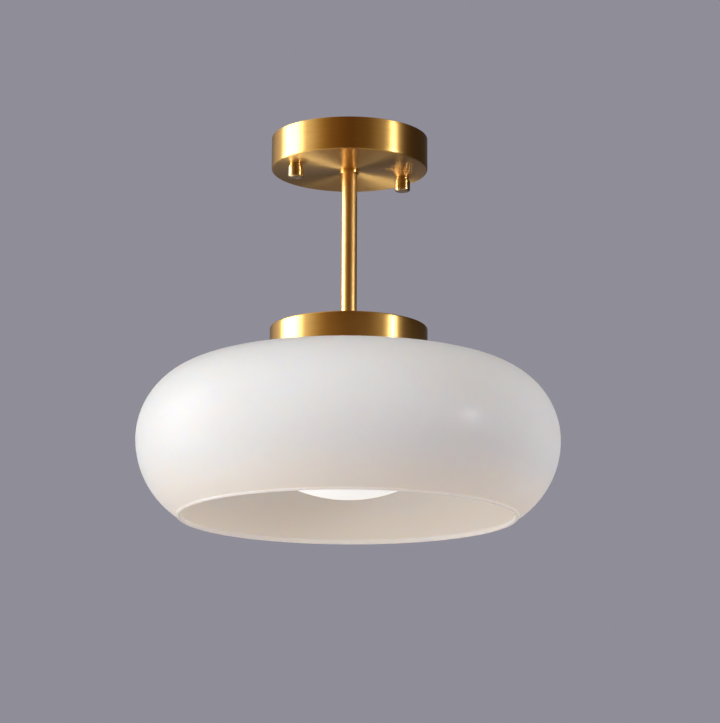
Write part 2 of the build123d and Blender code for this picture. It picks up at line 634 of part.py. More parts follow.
# Earth wire from the block round to the crimp of the earth tag
earth_turn_x = EARTH_TAG_REACH + 2 * WIRE_BEND
earth_turn_y = block_front_y + 2 * WIRE_LEAD
with BuildPart() as earth_wire:
    with BuildLine() as earth_route:
        FilletPolyline(
            (POLE_SPACING, wire_start_y, z_pole),
            (POLE_SPACING, earth_turn_y, z_pole),
            (earth_turn_x, earth_turn_y, z_pole),
            (earth_turn_x, 0, z_crimp),
            (EARTH_TAG_REACH - CRIMP_LENGTH, 0, z_crimp),
            radius=WIRE_BEND,
        )
    with BuildSketch(Plane(origin=earth_route.line @ 0, z_dir=earth_route.line % 0)):
        Circle(wire_radius)
    sweep(path=earth_route.line)
earth_wire.part.label = "earth_wire"
export_step(earth_wire.part, "parts/earth_wire.step")

# Cap on the shade: a brass cup, open downwards
with BuildPart() as shade_cap:
    with BuildSketch(Plane.XY.offset(z_cap_top)):
        Circle(cap_radius)
    extrude(amount=-CAP_HEIGHT)
    fillet(shade_cap.edges().sort_by(Axis.Z)[-1], CUP_EDGE_RADIUS)
    with BuildSketch(Plane.XY.offset(z_cap_rim)):
        Circle(cap_radius - SHEET_THICKNESS)
    extrude(amount=CAP_HEIGHT - SHEET_THICKNESS, mode=Mode.SUBTRACT)
    with Locations((0, 0, z_cap_top)):
        Hole(thread_hole_radius)
shade_cap.part.label = "shade_cap"
export_step(shade_cap.part, "parts/shade_cap.step")

# Silicone edging under the cap rim
cap_inner_radius = cap_radius - SHEET_THICKNESS
edging_radius = cap_inner_radius - GASKET_CLEARANCE
with BuildPart() as cap_gasket:
    with BuildSketch(Plane.XZ):
        with BuildLine():
            Polyline(
                (cap_radius - CAP_GASKET_WIDTH, z_shade_top),
                (cap_radius, z_shade_top),
                (cap_radius, z_cap_rim),
                (edging_radius, z_cap_rim),
                (edging_radius, z_cap_rim + CAP_GASKET_LIP),
                (edging_radius - CAP_GASKET_LIP_WIDTH, z_cap_rim + CAP_GASKET_LIP),
                (edging_radius - CAP_GASKET_LIP_WIDTH, z_cap_rim),
                (cap_radius - CAP_GASKET_WIDTH, z_cap_rim),
                close=True,
            )
        make_face()
    revolve(axis=Axis.Z)
cap_gasket.part.label = "cap_gasket"
export_step(cap_gasket.part, "parts/cap_gasket.step")

# Lampholder: dome with the threaded entry
z_dome_top = z_holder_top - HOLDER_ENTRY_BOSS
z_dome_foot = z_dome_top - HOLDER_DOME_DROP
entry_radius = HOLDER_ENTRY_DIAMETER / 2
with BuildPart() as lampholder_dome:
    with BuildSketch(Plane.XZ):
        with BuildLine():
            Polyline(
                (thread_hole_radius, z_holder_top),
                (entry_radius, z_holder_top),
                (entry_radius, z_dome_top),
                (holder_radius, z_dome_foot),
                (holder_radius, z_skirt),
                (skirt_inner_radius, z_skirt),
                (skirt_inner_radius, z_dome_foot - HOLDER_WALL),
                (entry_radius, z_entry_bottom),
                (thread_hole_radius, z_entry_bottom),
                close=True,
            )
        make_face()
    revolve(axis=Axis.Z)
lampholder_dome.part.label = "lampholder_dome"
export_step(lampholder_dome.part, "parts/lampholder_dome.step")

# Lampholder: sleeve with the outside thread for the shade ring, its thread drawn as closed grooves
z_first_groove = z_skirt - SLEEVE_THREAD_START
with BuildPart() as lampholder_sleeve:
    with BuildSketch(Plane.XZ):
        with BuildLine():
            Polyline(
                (sleeve_inner_radius, z_skirt + SPIGOT_HEIGHT),
                (spigot_radius, z_skirt + SPIGOT_HEIGHT),
                (spigot_radius, z_skirt),
                (holder_radius, z_skirt),
                (holder_radius, z_sleeve_mouth),
                (mouth_radius, z_sleeve_mouth),
                (mouth_radius, z_sleeve_mouth + SLEEVE_LIP_HEIGHT),
                (sleeve_inner_radius, z_sleeve_mouth + SLEEVE_LIP_HEIGHT),
                close=True,
            )
        make_face()
    revolve(axis=Axis.Z)
    with BuildSketch(Plane.XZ):
        for groove in range(SLEEVE_THREAD_COUNT):
            z_groove = z_first_groove - groove * SLEEVE_THREAD_PITCH
            with BuildLine():
                Polyline(
                    (holder_radius, z_groove + SLEEVE_THREAD_DEPTH),
                    (holder_radius - SLEEVE_THREAD_DEPTH, z_groove),
                    (holder_radius, z_groove - SLEEVE_THREAD_DEPTH),
                    close=True,
                )
            make_face()
    revolve(axis=Axis.Z, mode=Mode.SUBTRACT)
lampholder_sleeve.part.label = "lampholder_sleeve"
export_step(lampholder_sleeve.part, "parts/lampholder_sleeve.step")

# Lampholder: ceramic core that carries the contacts
with BuildPart() as lampholder_core:
    with BuildSketch(Plane.XY.offset(z_core_top)):
        Circle(core_radius)
    extrude(amount=-CORE_HEIGHT)
lampholder_core.part.label = "lampholder_core"
export_step(lampholder_core.part, "parts/lampholder_core.step")

# Lampholder: thin screw shell under the core, its thread drawn plain
with BuildPart() as lampholder_shell:
    with BuildSketch(Plane.XZ):
        with BuildLine():
            Polyline(
                (shell_radius - SHELL_FLANGE_WIDTH, z_core_bottom),
                (shell_radius, z_core_bottom),
                (shell_radius, z_shell_mouth),
                (shell_inner_radius, z_shell_mouth),
                (shell_inner_radius, z_core_bottom - SHELL_THICKNESS),
                (shell_radius - SHELL_FLANGE_WIDTH, z_core_bottom - SHELL_THICKNESS),
                close=True,
            )
        make_face()
    revolve(axis=Axis.Z)
lampholder_shell.part.label = "lampholder_shell"
export_step(lampholder_shell.part, "parts/lampholder_shell.step")

# Lampholder: spring tongue that presses on the tip of the lamp
contact_step = CONTACT_REACH / 2
with BuildPart() as centre_contact:
    with BuildSketch(Plane.XZ.offset(-CONTACT_WIDTH / 2)):
        with BuildLine():
            Polyline(
                (-CONTACT_REACH, z_core_bottom),
                (-contact_step, z_core_bottom),
                (0, z_contact + CONTACT_THICKNESS),
                (contact_step, z_contact + CONTACT_THICKNESS),
                (contact_step, z_contact),
                (-CONTACT_THICKNESS, z_contact),
                (-contact_step - CONTACT_THICKNESS, z_core_bottom - CONTACT_THICKNESS),
                (-CONTACT_REACH, z_core_bottom - CONTACT_THICKNESS),
                close=True,
            )
        make_face()
    extrude(amount=CONTACT_WIDTH)
centre_contact.part.label = "centre_contact"
export_step(centre_contact.part, "parts/centre_contact.step")

# Lampholder: brass posts on the core that clamp the two wires
post_centres = [(-POST_X, 0), (POST_X, 0)]
z_post_screw = z_core_top + POST_HEIGHT / 2
post_face_x = POST_X + POST_SIZE / 2
with BuildPart() as lampholder_posts:
    with BuildSketch(Plane.XY.offset(z_core_top)):
        with Locations(*post_centres):
            Rectangle(POST_SIZE, POST_SIZE)
    extrude(amount=POST_HEIGHT)
    with BuildSketch(Plane.XY.offset(z_post_top)):
        with Locations(*post_centres):
            Circle(POST_BORE / 2)
    extrude(amount=POST_FLOOR - POST_HEIGHT, mode=Mode.SUBTRACT)
    with BuildSketch(Plane.YZ.offset(-post_face_x)):
        with Locations((0, z_post_screw)):
            Circle(POST_SCREW_DIAMETER / 2 + BLOCK_CLEARANCE)
    extrude(amount=POST_SIZE / 2, mode=Mode.SUBTRACT)
    with BuildSketch(Plane.YZ.offset(post_face_x)):
        with Locations((0, z_post_screw)):
            Circle(POST_SCREW_DIAMETER / 2 + BLOCK_CLEARANCE)
    extrude(amount=-POST_SIZE / 2, mode=Mode.SUBTRACT)
lampholder_posts.part.label = "lampholder_posts"
export_step(lampholder_posts.part, "parts/lampholder_posts.step")

screw_tip_x = POST_X + wire_radius + BLOCK_CLEARANCE
with BuildPart() as post_screws:
    with BuildSketch(Plane.YZ.offset(screw_tip_x)):
        with Locations((0, z_post_screw)):
            Circle(POST_SCREW_DIAMETER / 2)
    extrude(amount=post_face_x - screw_tip_x)
    with BuildSketch(Plane.YZ.offset(post_face_x)):
        with Locations((0, z_post_screw)):
            Circle(POST_SCREW_HEAD_DIAMETER / 2)
    extrude(amount=POST_SCREW_HEAD_HEIGHT)
    with BuildSketch(Plane.YZ.offset(post_face_x + POST_SCREW_HEAD_HEIGHT)):
        with Locations((0, z_post_screw)):
            Rectangle(POST_SCREW_HEAD_DIAMETER, TERMINAL_SLOT_WIDTH)
    extrude(amount=-TERMINAL_SLOT_DEPTH, mode=Mode.SUBTRACT)
    mirror(about=Plane.YZ)
post_screws.part.label = "post_screws"
export_step(post_screws.part, "parts/post_screws.step")

# Glass shade: one wall thickness, turned down to a short lip that is melted round
crown_turn = degrees(crown_angle)
fillet_turn = degrees(fillet_angle)
mouth_inner_radius = shade_mouth_radius - SHADE_WALL
inner_lower_radius = LOWER_RADIUS - SHADE_WALL
brow_x = mouth_inner_radius + SHADE_BROW_FILLET
brow_reach = inner_lower_radius + SHADE_BROW_FILLET
brow_angle = acos((brow_x - lower_x) / brow_reach)
brow_turn = degrees(brow_angle)
z_brow = z_widest - brow_reach * sin(brow_angle)
with BuildPart() as glass_shade:
    with BuildSketch(Plane.XZ):
        with BuildLine():
            Line((shade_hole_radius, z_shade_top), (shade_flat_radius, z_shade_top))
            CenterArc((shade_flat_radius, z_crown_centre), CROWN_RADIUS, 90, -crown_turn)
            CenterArc((shoulder_x, z_widest), SHOULDER_RADIUS, 90 - crown_turn, crown_turn - 90)
            CenterArc((lower_x, z_widest), LOWER_RADIUS, 0, -fillet_turn)
            CenterArc((fillet_x, z_lip), SHADE_LIP_FILLET, 180 - fillet_turn, fillet_turn)
            CenterArc((lip_x, z_lip), lip_radius, 0, -180)
            Line((mouth_inner_radius, z_lip), (mouth_inner_radius, z_brow))
            CenterArc((brow_x, z_brow), SHADE_BROW_FILLET, 180, -brow_turn)
            CenterArc((lower_x, z_widest), inner_lower_radius, -brow_turn, brow_turn)
            CenterArc((shoulder_x, z_widest), SHOULDER_RADIUS - SHADE_WALL, 0, 90 - crown_turn)
            CenterArc(
                (shade_flat_radius, z_crown_centre),
                CROWN_RADIUS - SHADE_WALL,
                90 - crown_turn,
                crown_turn,
            )
            Line((shade_flat_radius, z_shade_inside), (shade_hole_radius, z_shade_inside))
            Line((shade_hole_radius, z_shade_inside), (shade_hole_radius, z_shade_top))
        make_face()
    revolve(axis=Axis.Z)
glass_shade.part.label = "glass_shade"
export_step(glass_shade.part, "parts/glass_shade.step")

# Washer of silicone between the glass and the shade ring
with BuildPart() as ring_gasket:
    with BuildSketch(Plane.XY.offset(z_ring_top)):
        Circle(RING_FLANGE_DIAMETER / 2)
        Circle(holder_radius + RING_GASKET_CLEARANCE, mode=Mode.SUBTRACT)
    extrude(amount=RING_GASKET_THICKNESS)
ring_gasket.part.label = "ring_gasket"
export_step(ring_gasket.part, "parts/ring_gasket.step")

# Shade ring: a flanged nut with finger grips, its thread drawn plain
with BuildPart() as shade_ring:
    with BuildSketch(Plane.XY.offset(z_ring_top)):
        Circle(RING_FLANGE_DIAMETER / 2)
    extrude(amount=-RING_FLANGE_HEIGHT)
    with BuildSketch(Plane.XY.offset(z_ring_bottom)):
        Circle(RING_HUB_DIAMETER / 2)
        with PolarLocations(RING_HUB_DIAMETER / 2, RING_GRIPS):
            Circle(RING_GRIP_RADIUS, mode=Mode.SUBTRACT)
    extrude(amount=RING_HEIGHT - RING_FLANGE_HEIGHT)
    with Locations((0, 0, z_ring_top)):
        Hole(holder_radius + THREAD_CLEARANCE)
shade_ring.part.label = "shade_ring"
export_step(shade_ring.part, "parts/shade_ring.step")

# Lamp: tip contact, insulator and screw cap
with BuildPart() as lamp_tip:
    with BuildSketch(Plane.XY.offset(z_lamp_top)):
        Circle(LAMP_TIP_DIAMETER / 2)
    extrude(amount=-LAMP_TIP_HEIGHT)
    fillet(lamp_tip.edges().sort_by(Axis.Z)[-1], LAMP_TIP_HEIGHT / 2)
lamp_tip.part.label = "lamp_tip"
export_step(lamp_tip.part, "parts/lamp_tip.step")

insulator_foot_radius = lamp_thread_radius - LAMP_THREAD_DEPTH
with BuildPart() as lamp_insulator:
    with BuildSketch(Plane.XZ):
        with BuildLine():
            Polyline(
                (0, z_insulator_top),
                (LAMP_INSULATOR_TOP_DIAMETER / 2, z_insulator_top),
                (insulator_foot_radius, z_lamp_cap_top),
                (0, z_lamp_cap_top),
                close=True,
            )
        make_face()
    revolve(axis=Axis.Z)
lamp_insulator.part.label = "lamp_insulator"
export_step(lamp_insulator.part, "parts/lamp_insulator.step")

# The lamp cap's thread is drawn as closed ridges
with BuildPart() as lamp_screw_cap:
    with BuildSketch(Plane.XY.offset(z_lamp_cap_top)):
        Circle(insulator_foot_radius)
        Circle(lamp_cap_inner_radius, mode=Mode.SUBTRACT)
    extrude(amount=-LAMP_CAP_LENGTH)
    with BuildSketch(Plane.XZ):
        for turn in range(LAMP_THREAD_TURNS):
            z_ridge = z_lamp_cap_top - (turn + 1) * LAMP_THREAD_PITCH
            with BuildLine():
                Polyline(
                    (lamp_cap_inner_radius, z_ridge + LAMP_THREAD_PITCH / 2),
                    (insulator_foot_radius, z_ridge + LAMP_THREAD_PITCH / 2),
                    (lamp_thread_radius, z_ridge + LAMP_THREAD_DEPTH / 2),
                    (lamp_thread_radius, z_ridge - LAMP_THREAD_DEPTH / 2),
                    (insulator_foot_radius, z_ridge - LAMP_THREAD_PITCH / 2),
                    (lamp_cap_inner_radius, z_ridge - LAMP_THREAD_PITCH / 2),
                    close=True,
                )
            make_face()
    revolve(axis=Axis.Z)
lamp_screw_cap.part.label = "lamp_screw_cap"
export_step(lamp_screw_cap.part, "parts/lamp_screw_cap.step")

# Lamp: hollow housing that flares from the screw cap to the light-giving dome
with BuildPart() as lamp_housing:
    with BuildSketch(Plane.XZ):
        with BuildLine():
            Polyline(
                (lamp_plug_bore_radius, z_lamp_cap_bottom + LAMP_PLUG_LENGTH),
                (lamp_plug_radius, z_lamp_cap_bottom + LAMP_PLUG_LENGTH),
                (lamp_plug_radius, z_lamp_cap_bottom),
                (lamp_neck_radius, z_lamp_cap_bottom),
                (lamp_neck_radius, z_lamp_neck),
                (lamp_radius, z_lamp_shoulder),
                (lamp_radius, z_seam),
                (lamp_lip_radius, z_seam),
                (lamp_lip_radius, z_lip_bottom),
                (lip_inner_radius, z_lip_bottom),
                (lip_inner_radius, z_lamp_shoulder - LAMP_WALL),
                (lamp_plug_bore_radius, z_lamp_neck - LAMP_WALL),
                close=True,
            )
        make_face()
    revolve(axis=Axis.Z)
lamp_housing.part.label = "lamp_housing"
export_step(lamp_housing.part, "parts/lamp_housing.step")

# Lamp: board with the light-emitting chips, and the driver that stands on it
z_board = z_lip_bottom + LED_BOARD_THICKNESS
with BuildPart() as lamp_led_board:
    with BuildSketch(Plane.XY.offset(z_board)):
        Circle(lip_inner_radius - LED_BOARD_GAP)
    extrude(amount=-LED_BOARD_THICKNESS)
    with BuildSketch(Plane.XY.offset(z_lip_bottom)):
        with PolarLocations(LED_CIRCLE_DIAMETER / 2, LED_COUNT):
            Rectangle(LED_SIZE, LED_SIZE)
    extrude(amount=-LED_HEIGHT)
lamp_led_board.part.label = "lamp_led_board"
export_step(lamp_led_board.part, "parts/lamp_led_board.step")

with BuildPart() as lamp_driver:
    with BuildSketch(Plane.XY.offset(z_board)):
        Rectangle(DRIVER_WIDTH, DRIVER_THICKNESS)
    extrude(amount=DRIVER_HEIGHT)
    with BuildSketch(Plane.XY.offset(z_board)):
        with Locations((0, (DRIVER_THICKNESS + COIL_SIZE) / 2)):
            Rectangle(COIL_SIZE, COIL_SIZE)
    extrude(amount=COIL_SIZE)
    with BuildSketch(Plane.XY.offset(z_board)):
        with Locations((0, -(DRIVER_THICKNESS + CAPACITOR_DIAMETER) / 2)):
            Circle(CAPACITOR_DIAMETER / 2)
            with Locations((0, CAPACITOR_DIAMETER / 4)):
                Rectangle(CAPACITOR_DIAMETER / 2, CAPACITOR_DIAMETER / 2)
    extrude(amount=CAPACITOR_HEIGHT)
lamp_driver.part.label = "lamp_driver"
export_step(lamp_driver.part, "parts/lamp_driver.step")

# Lamp: milky dome that closes the housing
dome_turn = degrees(dome_angle)
z_dome_rim = z_seam - LAMP_SEAM_GAP
inner_edge_radius = LAMP_EDGE_RADIUS - LAMP_WALL
with BuildPart() as lamp_diffuser:
    with BuildSketch(Plane.XZ):
        with BuildLine():
            Line((lamp_radius, z_dome_rim), (lamp_radius, z_lamp_edge))
            CenterArc((lamp_edge_x, z_lamp_edge), LAMP_EDGE_RADIUS, 0, dome_turn - 90)
            CenterArc((0, z_dome_centre), LAMP_DOME_RADIUS, dome_turn - 90, -dome_turn)
            Line((0, z_lamp_bottom), (0, z_lamp_bottom + LAMP_WALL))
            CenterArc((0, z_dome_centre), LAMP_DOME_RADIUS - LAMP_WALL, -90, dome_turn)
            CenterArc((lamp_edge_x, z_lamp_edge), inner_edge_radius, dome_turn - 90, 90 - dome_turn)
            Line((lamp_radius - LAMP_WALL, z_lamp_edge), (lamp_radius - LAMP_WALL, z_dome_rim))
            Line((lamp_radius - LAMP_WALL, z_dome_rim), (lamp_radius, z_dome_rim))
        make_face()
    revolve(axis=Axis.Z)
lamp_diffuser.part.label = "lamp_diffuser"
export_step(lamp_diffuser.part, "parts/lamp_diffuser.step")
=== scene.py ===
"""Looks of a glass ceiling light: brass canopy, rod and cap, a blown opal shade and a flat lamp.

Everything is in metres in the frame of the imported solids. The origin is the middle of the
bracket's top face, on the ceiling, and the light hangs down along -Z.
"""

import logging
import math
from abc import ABC, abstractmethod
from dataclasses import dataclass, field
from enum import Enum
from typing import Any, ClassVar, Mapping, Sequence, Union

import bmesh
import bpy
from mathutils import Matrix, Vector


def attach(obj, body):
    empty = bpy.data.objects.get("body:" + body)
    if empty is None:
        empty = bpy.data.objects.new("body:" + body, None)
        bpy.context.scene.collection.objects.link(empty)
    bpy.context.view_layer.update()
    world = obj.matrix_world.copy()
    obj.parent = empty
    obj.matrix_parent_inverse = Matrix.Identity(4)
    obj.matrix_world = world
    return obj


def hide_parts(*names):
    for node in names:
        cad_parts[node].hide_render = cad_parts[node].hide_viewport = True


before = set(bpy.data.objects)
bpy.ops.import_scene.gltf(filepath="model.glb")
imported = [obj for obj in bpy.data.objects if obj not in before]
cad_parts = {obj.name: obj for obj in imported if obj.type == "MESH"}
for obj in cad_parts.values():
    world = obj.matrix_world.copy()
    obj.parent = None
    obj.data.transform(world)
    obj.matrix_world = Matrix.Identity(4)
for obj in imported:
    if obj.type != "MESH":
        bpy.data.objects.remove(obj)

log = logging.getLogger("ceiling_light")

MM = 0.001
Point = tuple[float, float]
Triple = tuple[float, float, float]
Colour = tuple[float, float, float]
BLACK: Colour = (0.0, 0.0, 0.0)
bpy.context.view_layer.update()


# ---------------------------------------------------------------- node graphs


class Socket:
    """An output of a node that takes part in Python expressions."""

    def __init__(self, graph: "Graph", output: bpy.types.NodeSocket | None) -> None:
        """Keeps the graph and the output that later nodes link to, None where there is none."""
        self.graph = graph
        self.output = output

    def _math(self, operation: str, first: "Number", second: "Number") -> "Socket":
        """Adds one Math node.

        Args:
            operation: the node's operation.
            first: left value.
            second: right value.

        Returns:
            The node's output.
        """
        return self.graph.node("ShaderNodeMath", {"operation": operation}, {0: first, 1: second})

    def __add__(self, other: "Number") -> "Socket":
        """self + other."""
        return self._math("ADD", self, other)

    def __radd__(self, other: "Number") -> "Socket":
        """other + self."""
        return self._math("ADD", other, self)

    def __sub__(self, other: "Number") -> "Socket":
        """self - other."""
        return self._math("SUBTRACT", self, other)

    def __rsub__(self, other: "Number") -> "Socket":
        """other - self."""
        return self._math("SUBTRACT", other, self)

    def __mul__(self, other: "Number") -> "Socket":
        """self * other."""
        return self._math("MULTIPLY", self, other)

    def __rmul__(self, other: "Number") -> "Socket":
        """other * self."""
        return self._math("MULTIPLY", other, self)

    def __truediv__(self, other: "Number") -> "Socket":
        """self / other."""
        return self._math("DIVIDE", self, other)

    def __rtruediv__(self, other: "Number") -> "Socket":
        """other / self."""
        return self._math("DIVIDE", other, self)

    def __pow__(self, other: "Number") -> "Socket":
        """self ** other."""
        return self._math("POWER", self, other)

    def __rpow__(self, other: "Number") -> "Socket":
        """other ** self."""
        return self._math("POWER", other, self)

    def at_least(self, other: "Number") -> "Socket":
        """The larger of self and other."""
        return self._math("MAXIMUM", self, other)

    def sine(self) -> "Socket":
        """The sine of self, in radians."""
        return self._math("SINE", self, 0.0)

    def turned_from(self, other: "Number") -> "Socket":
        """The angle, in radians, whose tangent is self over other."""
        return self._math("ARCTAN2", self, other)

    def above(self, level: float) -> "Socket":
        """1 where self is over the level, else 0."""
        return self._math("GREATER_THAN", self, level)

    def swing(self, size: float) -> "Socket":
        """A value from 0 to 1 as a swing about zero, of a size from end to end."""
        return (self - 0.5) * size

    def ramp(self, low: float, high: float, to_low: float = 0.0, to_high: float = 1.0) -> "Socket":
        """Maps a span of values smoothly onto another.

        Args:
            low: value that gives to_low.
            high: value that gives to_high.
            to_low: result at and under low.
            to_high: result at and over high.

        Returns:
            The mapped value.
        """
        return self.graph.node(
            "ShaderNodeMapRange",
            {"interpolation_type": "SMOOTHSTEP", "clamp": True},
            {
                "Value": self, "From Min": low, "From Max": high,
                "To Min": to_low, "To Max": to_high,
            },
        )


Number = Union[Socket, float, int]


class Graph:
    """A node tree of a material, a world or a shape, built by code."""

    def __init__(self, tree: bpy.types.NodeTree) -> None:
        """Empties the tree."""
        self.tree = tree
        self.tree.nodes.clear()

    def node(
        self,
        kind: str,
        settings: Mapping[str, Any] | None = None,
        inputs: Mapping[Union[str, int], Any] | None = None,
        output: Union[str, int] = 0,
    ) -> Socket:
        """Adds a node, sets it up and links its inputs.

        Args:
            kind: the node's type.
            settings: properties, set first; "stops" fills a colour ramp with (place, colour).
            inputs: values or sockets, by input name or number.
            output: the output to return, by name or number.

        Returns:
            The chosen output.
        """
        made = self.tree.nodes.new(kind)
        for key, value in (settings or {}).items():
            if key == "stops":
                self._fill_ramp(made, value)
            else:
                setattr(made, key, value)
        for key, value in (inputs or {}).items():
            if isinstance(value, Socket):
                self.tree.links.new(value.output, made.inputs[key])
            else:
                made.inputs[key].default_value = value
        return Socket(self, made.outputs[output] if len(made.outputs) else None)

    def _fill_ramp(self, made: bpy.types.Node, stops: Sequence[tuple[float, Colour]]) -> None:
        """Sets a colour ramp's stops.

        Args:
            made: the ramp node.
            stops: places from 0 to 1 with their colours.
        """
        elements = made.color_ramp.elements
        while len(elements) < len(stops):
            elements.new(1.0)
        for element, (place, colour) in zip(elements, stops):
            element.position = place
            element.color = (*colour, 1.0)

    def place(self, centre: Triple = (0.0, 0.0, 0.0)) -> Socket:
        """Object coordinates measured from a centre.

        Args:
            centre: the point that becomes zero.

        Returns:
            A vector in metres.
        """
        where = self.node("ShaderNodeTexCoord", output="Object")
        shift = tuple(-value for value in centre)
        return self.node("ShaderNodeMapping", inputs={"Vector": where, "Location": shift})

    def parts(self, vector: Socket) -> tuple[Socket, Socket, Socket]:
        """The x, y and z of a vector."""
        split = self.node("ShaderNodeSeparateXYZ", inputs={0: vector}).output.node
        return tuple(Socket(self, output) for output in split.outputs)

    def vector(self, x: Number, y: Number, z: Number) -> Socket:
        """A vector from its three parts."""
        return self.node("ShaderNodeCombineXYZ", inputs={0: x, 1: y, 2: z})

    def from_axis(self, x: Socket, y: Socket) -> Socket:
        """The distance from the vertical axis."""
        return (x * x + y * y) ** 0.5

    def facing(self) -> tuple[Socket, Socket, Socket]:
        """The x, y and z of the surface's normal."""
        return self.parts(self.node("ShaderNodeNewGeometry", output="Normal"))

    def ray(self, kind: str) -> Socket:
        """1 on rays of a kind, such as Camera or Glossy, else 0."""
        return self.node("ShaderNodeLightPath", output=f"Is {kind} Ray")

    def stretch(self, vector: Socket, by: Triple) -> Socket:
        """A vector multiplied part by part."""
        return self.node("ShaderNodeVectorMath", {"operation": "MULTIPLY"}, {0: vector, 1: by})

    def noise(
        self, vector: Socket, scale: float, detail: float, w: Number | None = None
    ) -> Socket:
        """Smooth noise from about 0 to 1.

        Args:
            vector: where it is read.
            scale: noise cells in a unit of the vector.
            detail: octaves.
            w: a fourth coordinate, or None.

        Returns:
            The noise value.
        """
        inputs = {"Vector": vector, "Scale": scale, "Detail": detail}
        if w is not None:
            inputs["W"] = w
        space = "3D" if w is None else "4D"
        return self.node("ShaderNodeTexNoise", {"noise_dimensions": space}, inputs)

    def mix(self, factor: Number, first: Any, second: Any) -> Socket:
        """Blends two colours.

        Args:
            factor: 0 for the first, 1 for the second.
            first: a colour or a colour socket.
            second: a colour or a colour socket.

        Returns:
            The blended colour.
        """
        sides = [value if isinstance(value, Socket) else (*value, 1.0) for value in (first, second)]
        # A Mix node's colours are its inputs 6 and 7 and its output 2.
        inputs = {0: factor, 6: sides[0], 7: sides[1]}
        return self.node("ShaderNodeMix", {"data_type": "RGBA"}, inputs, output=2)

    def bump(self, height: Socket, strength: float, distance: float) -> Socket:
        """A normal pushed about by a height.

        Args:
            height: the height value.
            strength: share of the effect.
            distance: metres of relief for a height of 1.

        Returns:
            The normal.
        """
        return self.node(
            "ShaderNodeBump", inputs={"Height": height, "Strength": strength, "Distance": distance}
        )

    def surface(self, shader: Socket, output: str = "ShaderNodeOutputMaterial") -> None:
        """Makes a shader the result of a material's tree, or of a world's."""
        self.node(output, inputs={"Surface": shader})


def plain_mesh(carrier: bpy.types.Object) -> bpy.types.Mesh:
    """An object's shape with its modifiers applied."""
    evaluated = carrier.evaluated_get(bpy.context.evaluated_depsgraph_get())
    return bpy.data.meshes.new_from_object(evaluated)


# ---------------------------------------------------------------- finishes


class Grain(Enum):
    """Which way a brushed metal's marks run."""

    ROUND = "round the axis"
    ALONG = "along the axis"


@dataclass(frozen=True)
class Finish(ABC):
    """A finish that makes one procedural material."""

    name: str
    made: ClassVar[dict[str, bpy.types.Material]] = {}

    def material(self) -> bpy.types.Material:
        """Makes the finish's material at the first call.

        Returns:
            The material.
        """
        if self.name not in Finish.made:
            made = bpy.data.materials.new(self.name)
            made.use_nodes = True
            graph = Graph(made.node_tree)
            graph.surface(self.shade(graph))
            Finish.made[self.name] = made
        return Finish.made[self.name]

    @abstractmethod
    def shade(self, graph: Graph) -> Socket:
        """Builds the finish's shader in a graph and returns it."""


@dataclass(frozen=True)
class BrushedBrass(Finish):
    """Satin brass, brushed on a lathe or drawn through a die.

    Turned lines and bands and drawn streaks are counted in a metre, turned streaks and drawn
    lines in a radian round the axis. faced is the roughness of level faces.
    """

    grain: Grain = Grain.ROUND
    axis_x: float = 0.0
    deep: Colour = (0.740, 0.430, 0.115)
    bright: Colour = (0.880, 0.575, 0.200)
    roughness: float = 0.31
    faced: float = 0.35
    anisotropy: float = 0.9
    across_marks: float = 0.25
    lacquer: float = 0.15
    turned_streaks: float = 5.0
    turned_lines: float = 2600.0
    turned_bands: float = 420.0
    turned_spread: Triple = (0.6, 0.6, 0.16)
    drawn_lines: float = 34.0
    drawn_streaks: float = 14.0
    drawn_spread: Triple = (0.2, 0.2, 0.5)
    cloud_scale: float = 26.0
    relief: float = 0.00004
    axis_gap: float = 1e-5

    def shade(self, graph: Graph) -> Socket:
        """Builds marks that follow the turning, faint clouding and a directional gloss.

        Args:
            graph: the material's graph.

        Returns:
            The shader.
        """
        where = graph.place((self.axis_x, 0.0, 0.0))
        x, y, z = graph.parts(where)
        radius = graph.from_axis(x, y).at_least(self.axis_gap)
        if self.grain is Grain.ROUND:
            run = self.turned_streaks
            path = graph.vector(x / radius * run, y / radius * run, radius * self.turned_lines)
            spread = graph.stretch(path, self.turned_spread)
            fine = graph.noise(path, 1.0, detail=3.0, w=z * self.turned_lines)
            wide = graph.noise(spread, 1.0, detail=2.0, w=z * self.turned_bands)
        else:
            run = self.drawn_lines
            path = graph.vector(x / radius * run, y / radius * run, z * self.drawn_streaks)
            spread = graph.stretch(path, self.drawn_spread)
            fine = graph.noise(path, 1.0, detail=3.0)
            wide = graph.noise(spread, 1.0, detail=2.0)
        cloud = graph.noise(where, self.cloud_scale, detail=3.0)
        tone = fine * 0.45 + wide * 0.35 + cloud * 0.2
        upright = graph.facing()[2]
        face = (upright * upright).ramp(0.6, 0.95)
        rough = self.roughness + face * (self.faced - self.roughness)
        inputs = {
            "Base Color": graph.mix(tone.ramp(0.15, 0.85), self.deep, self.bright),
            "Metallic": 1.0,
            "Roughness": rough + fine.swing(0.06) + cloud.swing(0.05),
            "Coat Weight": self.lacquer,
            "Coat Roughness": self.roughness,
            "Normal": graph.bump(fine + wide * 0.5, strength=0.05, distance=self.relief),
        }
        if self.grain is Grain.ROUND:
            inputs["Anisotropic"] = self.anisotropy
            inputs["Anisotropic Rotation"] = self.across_marks
        return graph.node("ShaderNodeBsdfPrincipled", inputs=inputs)


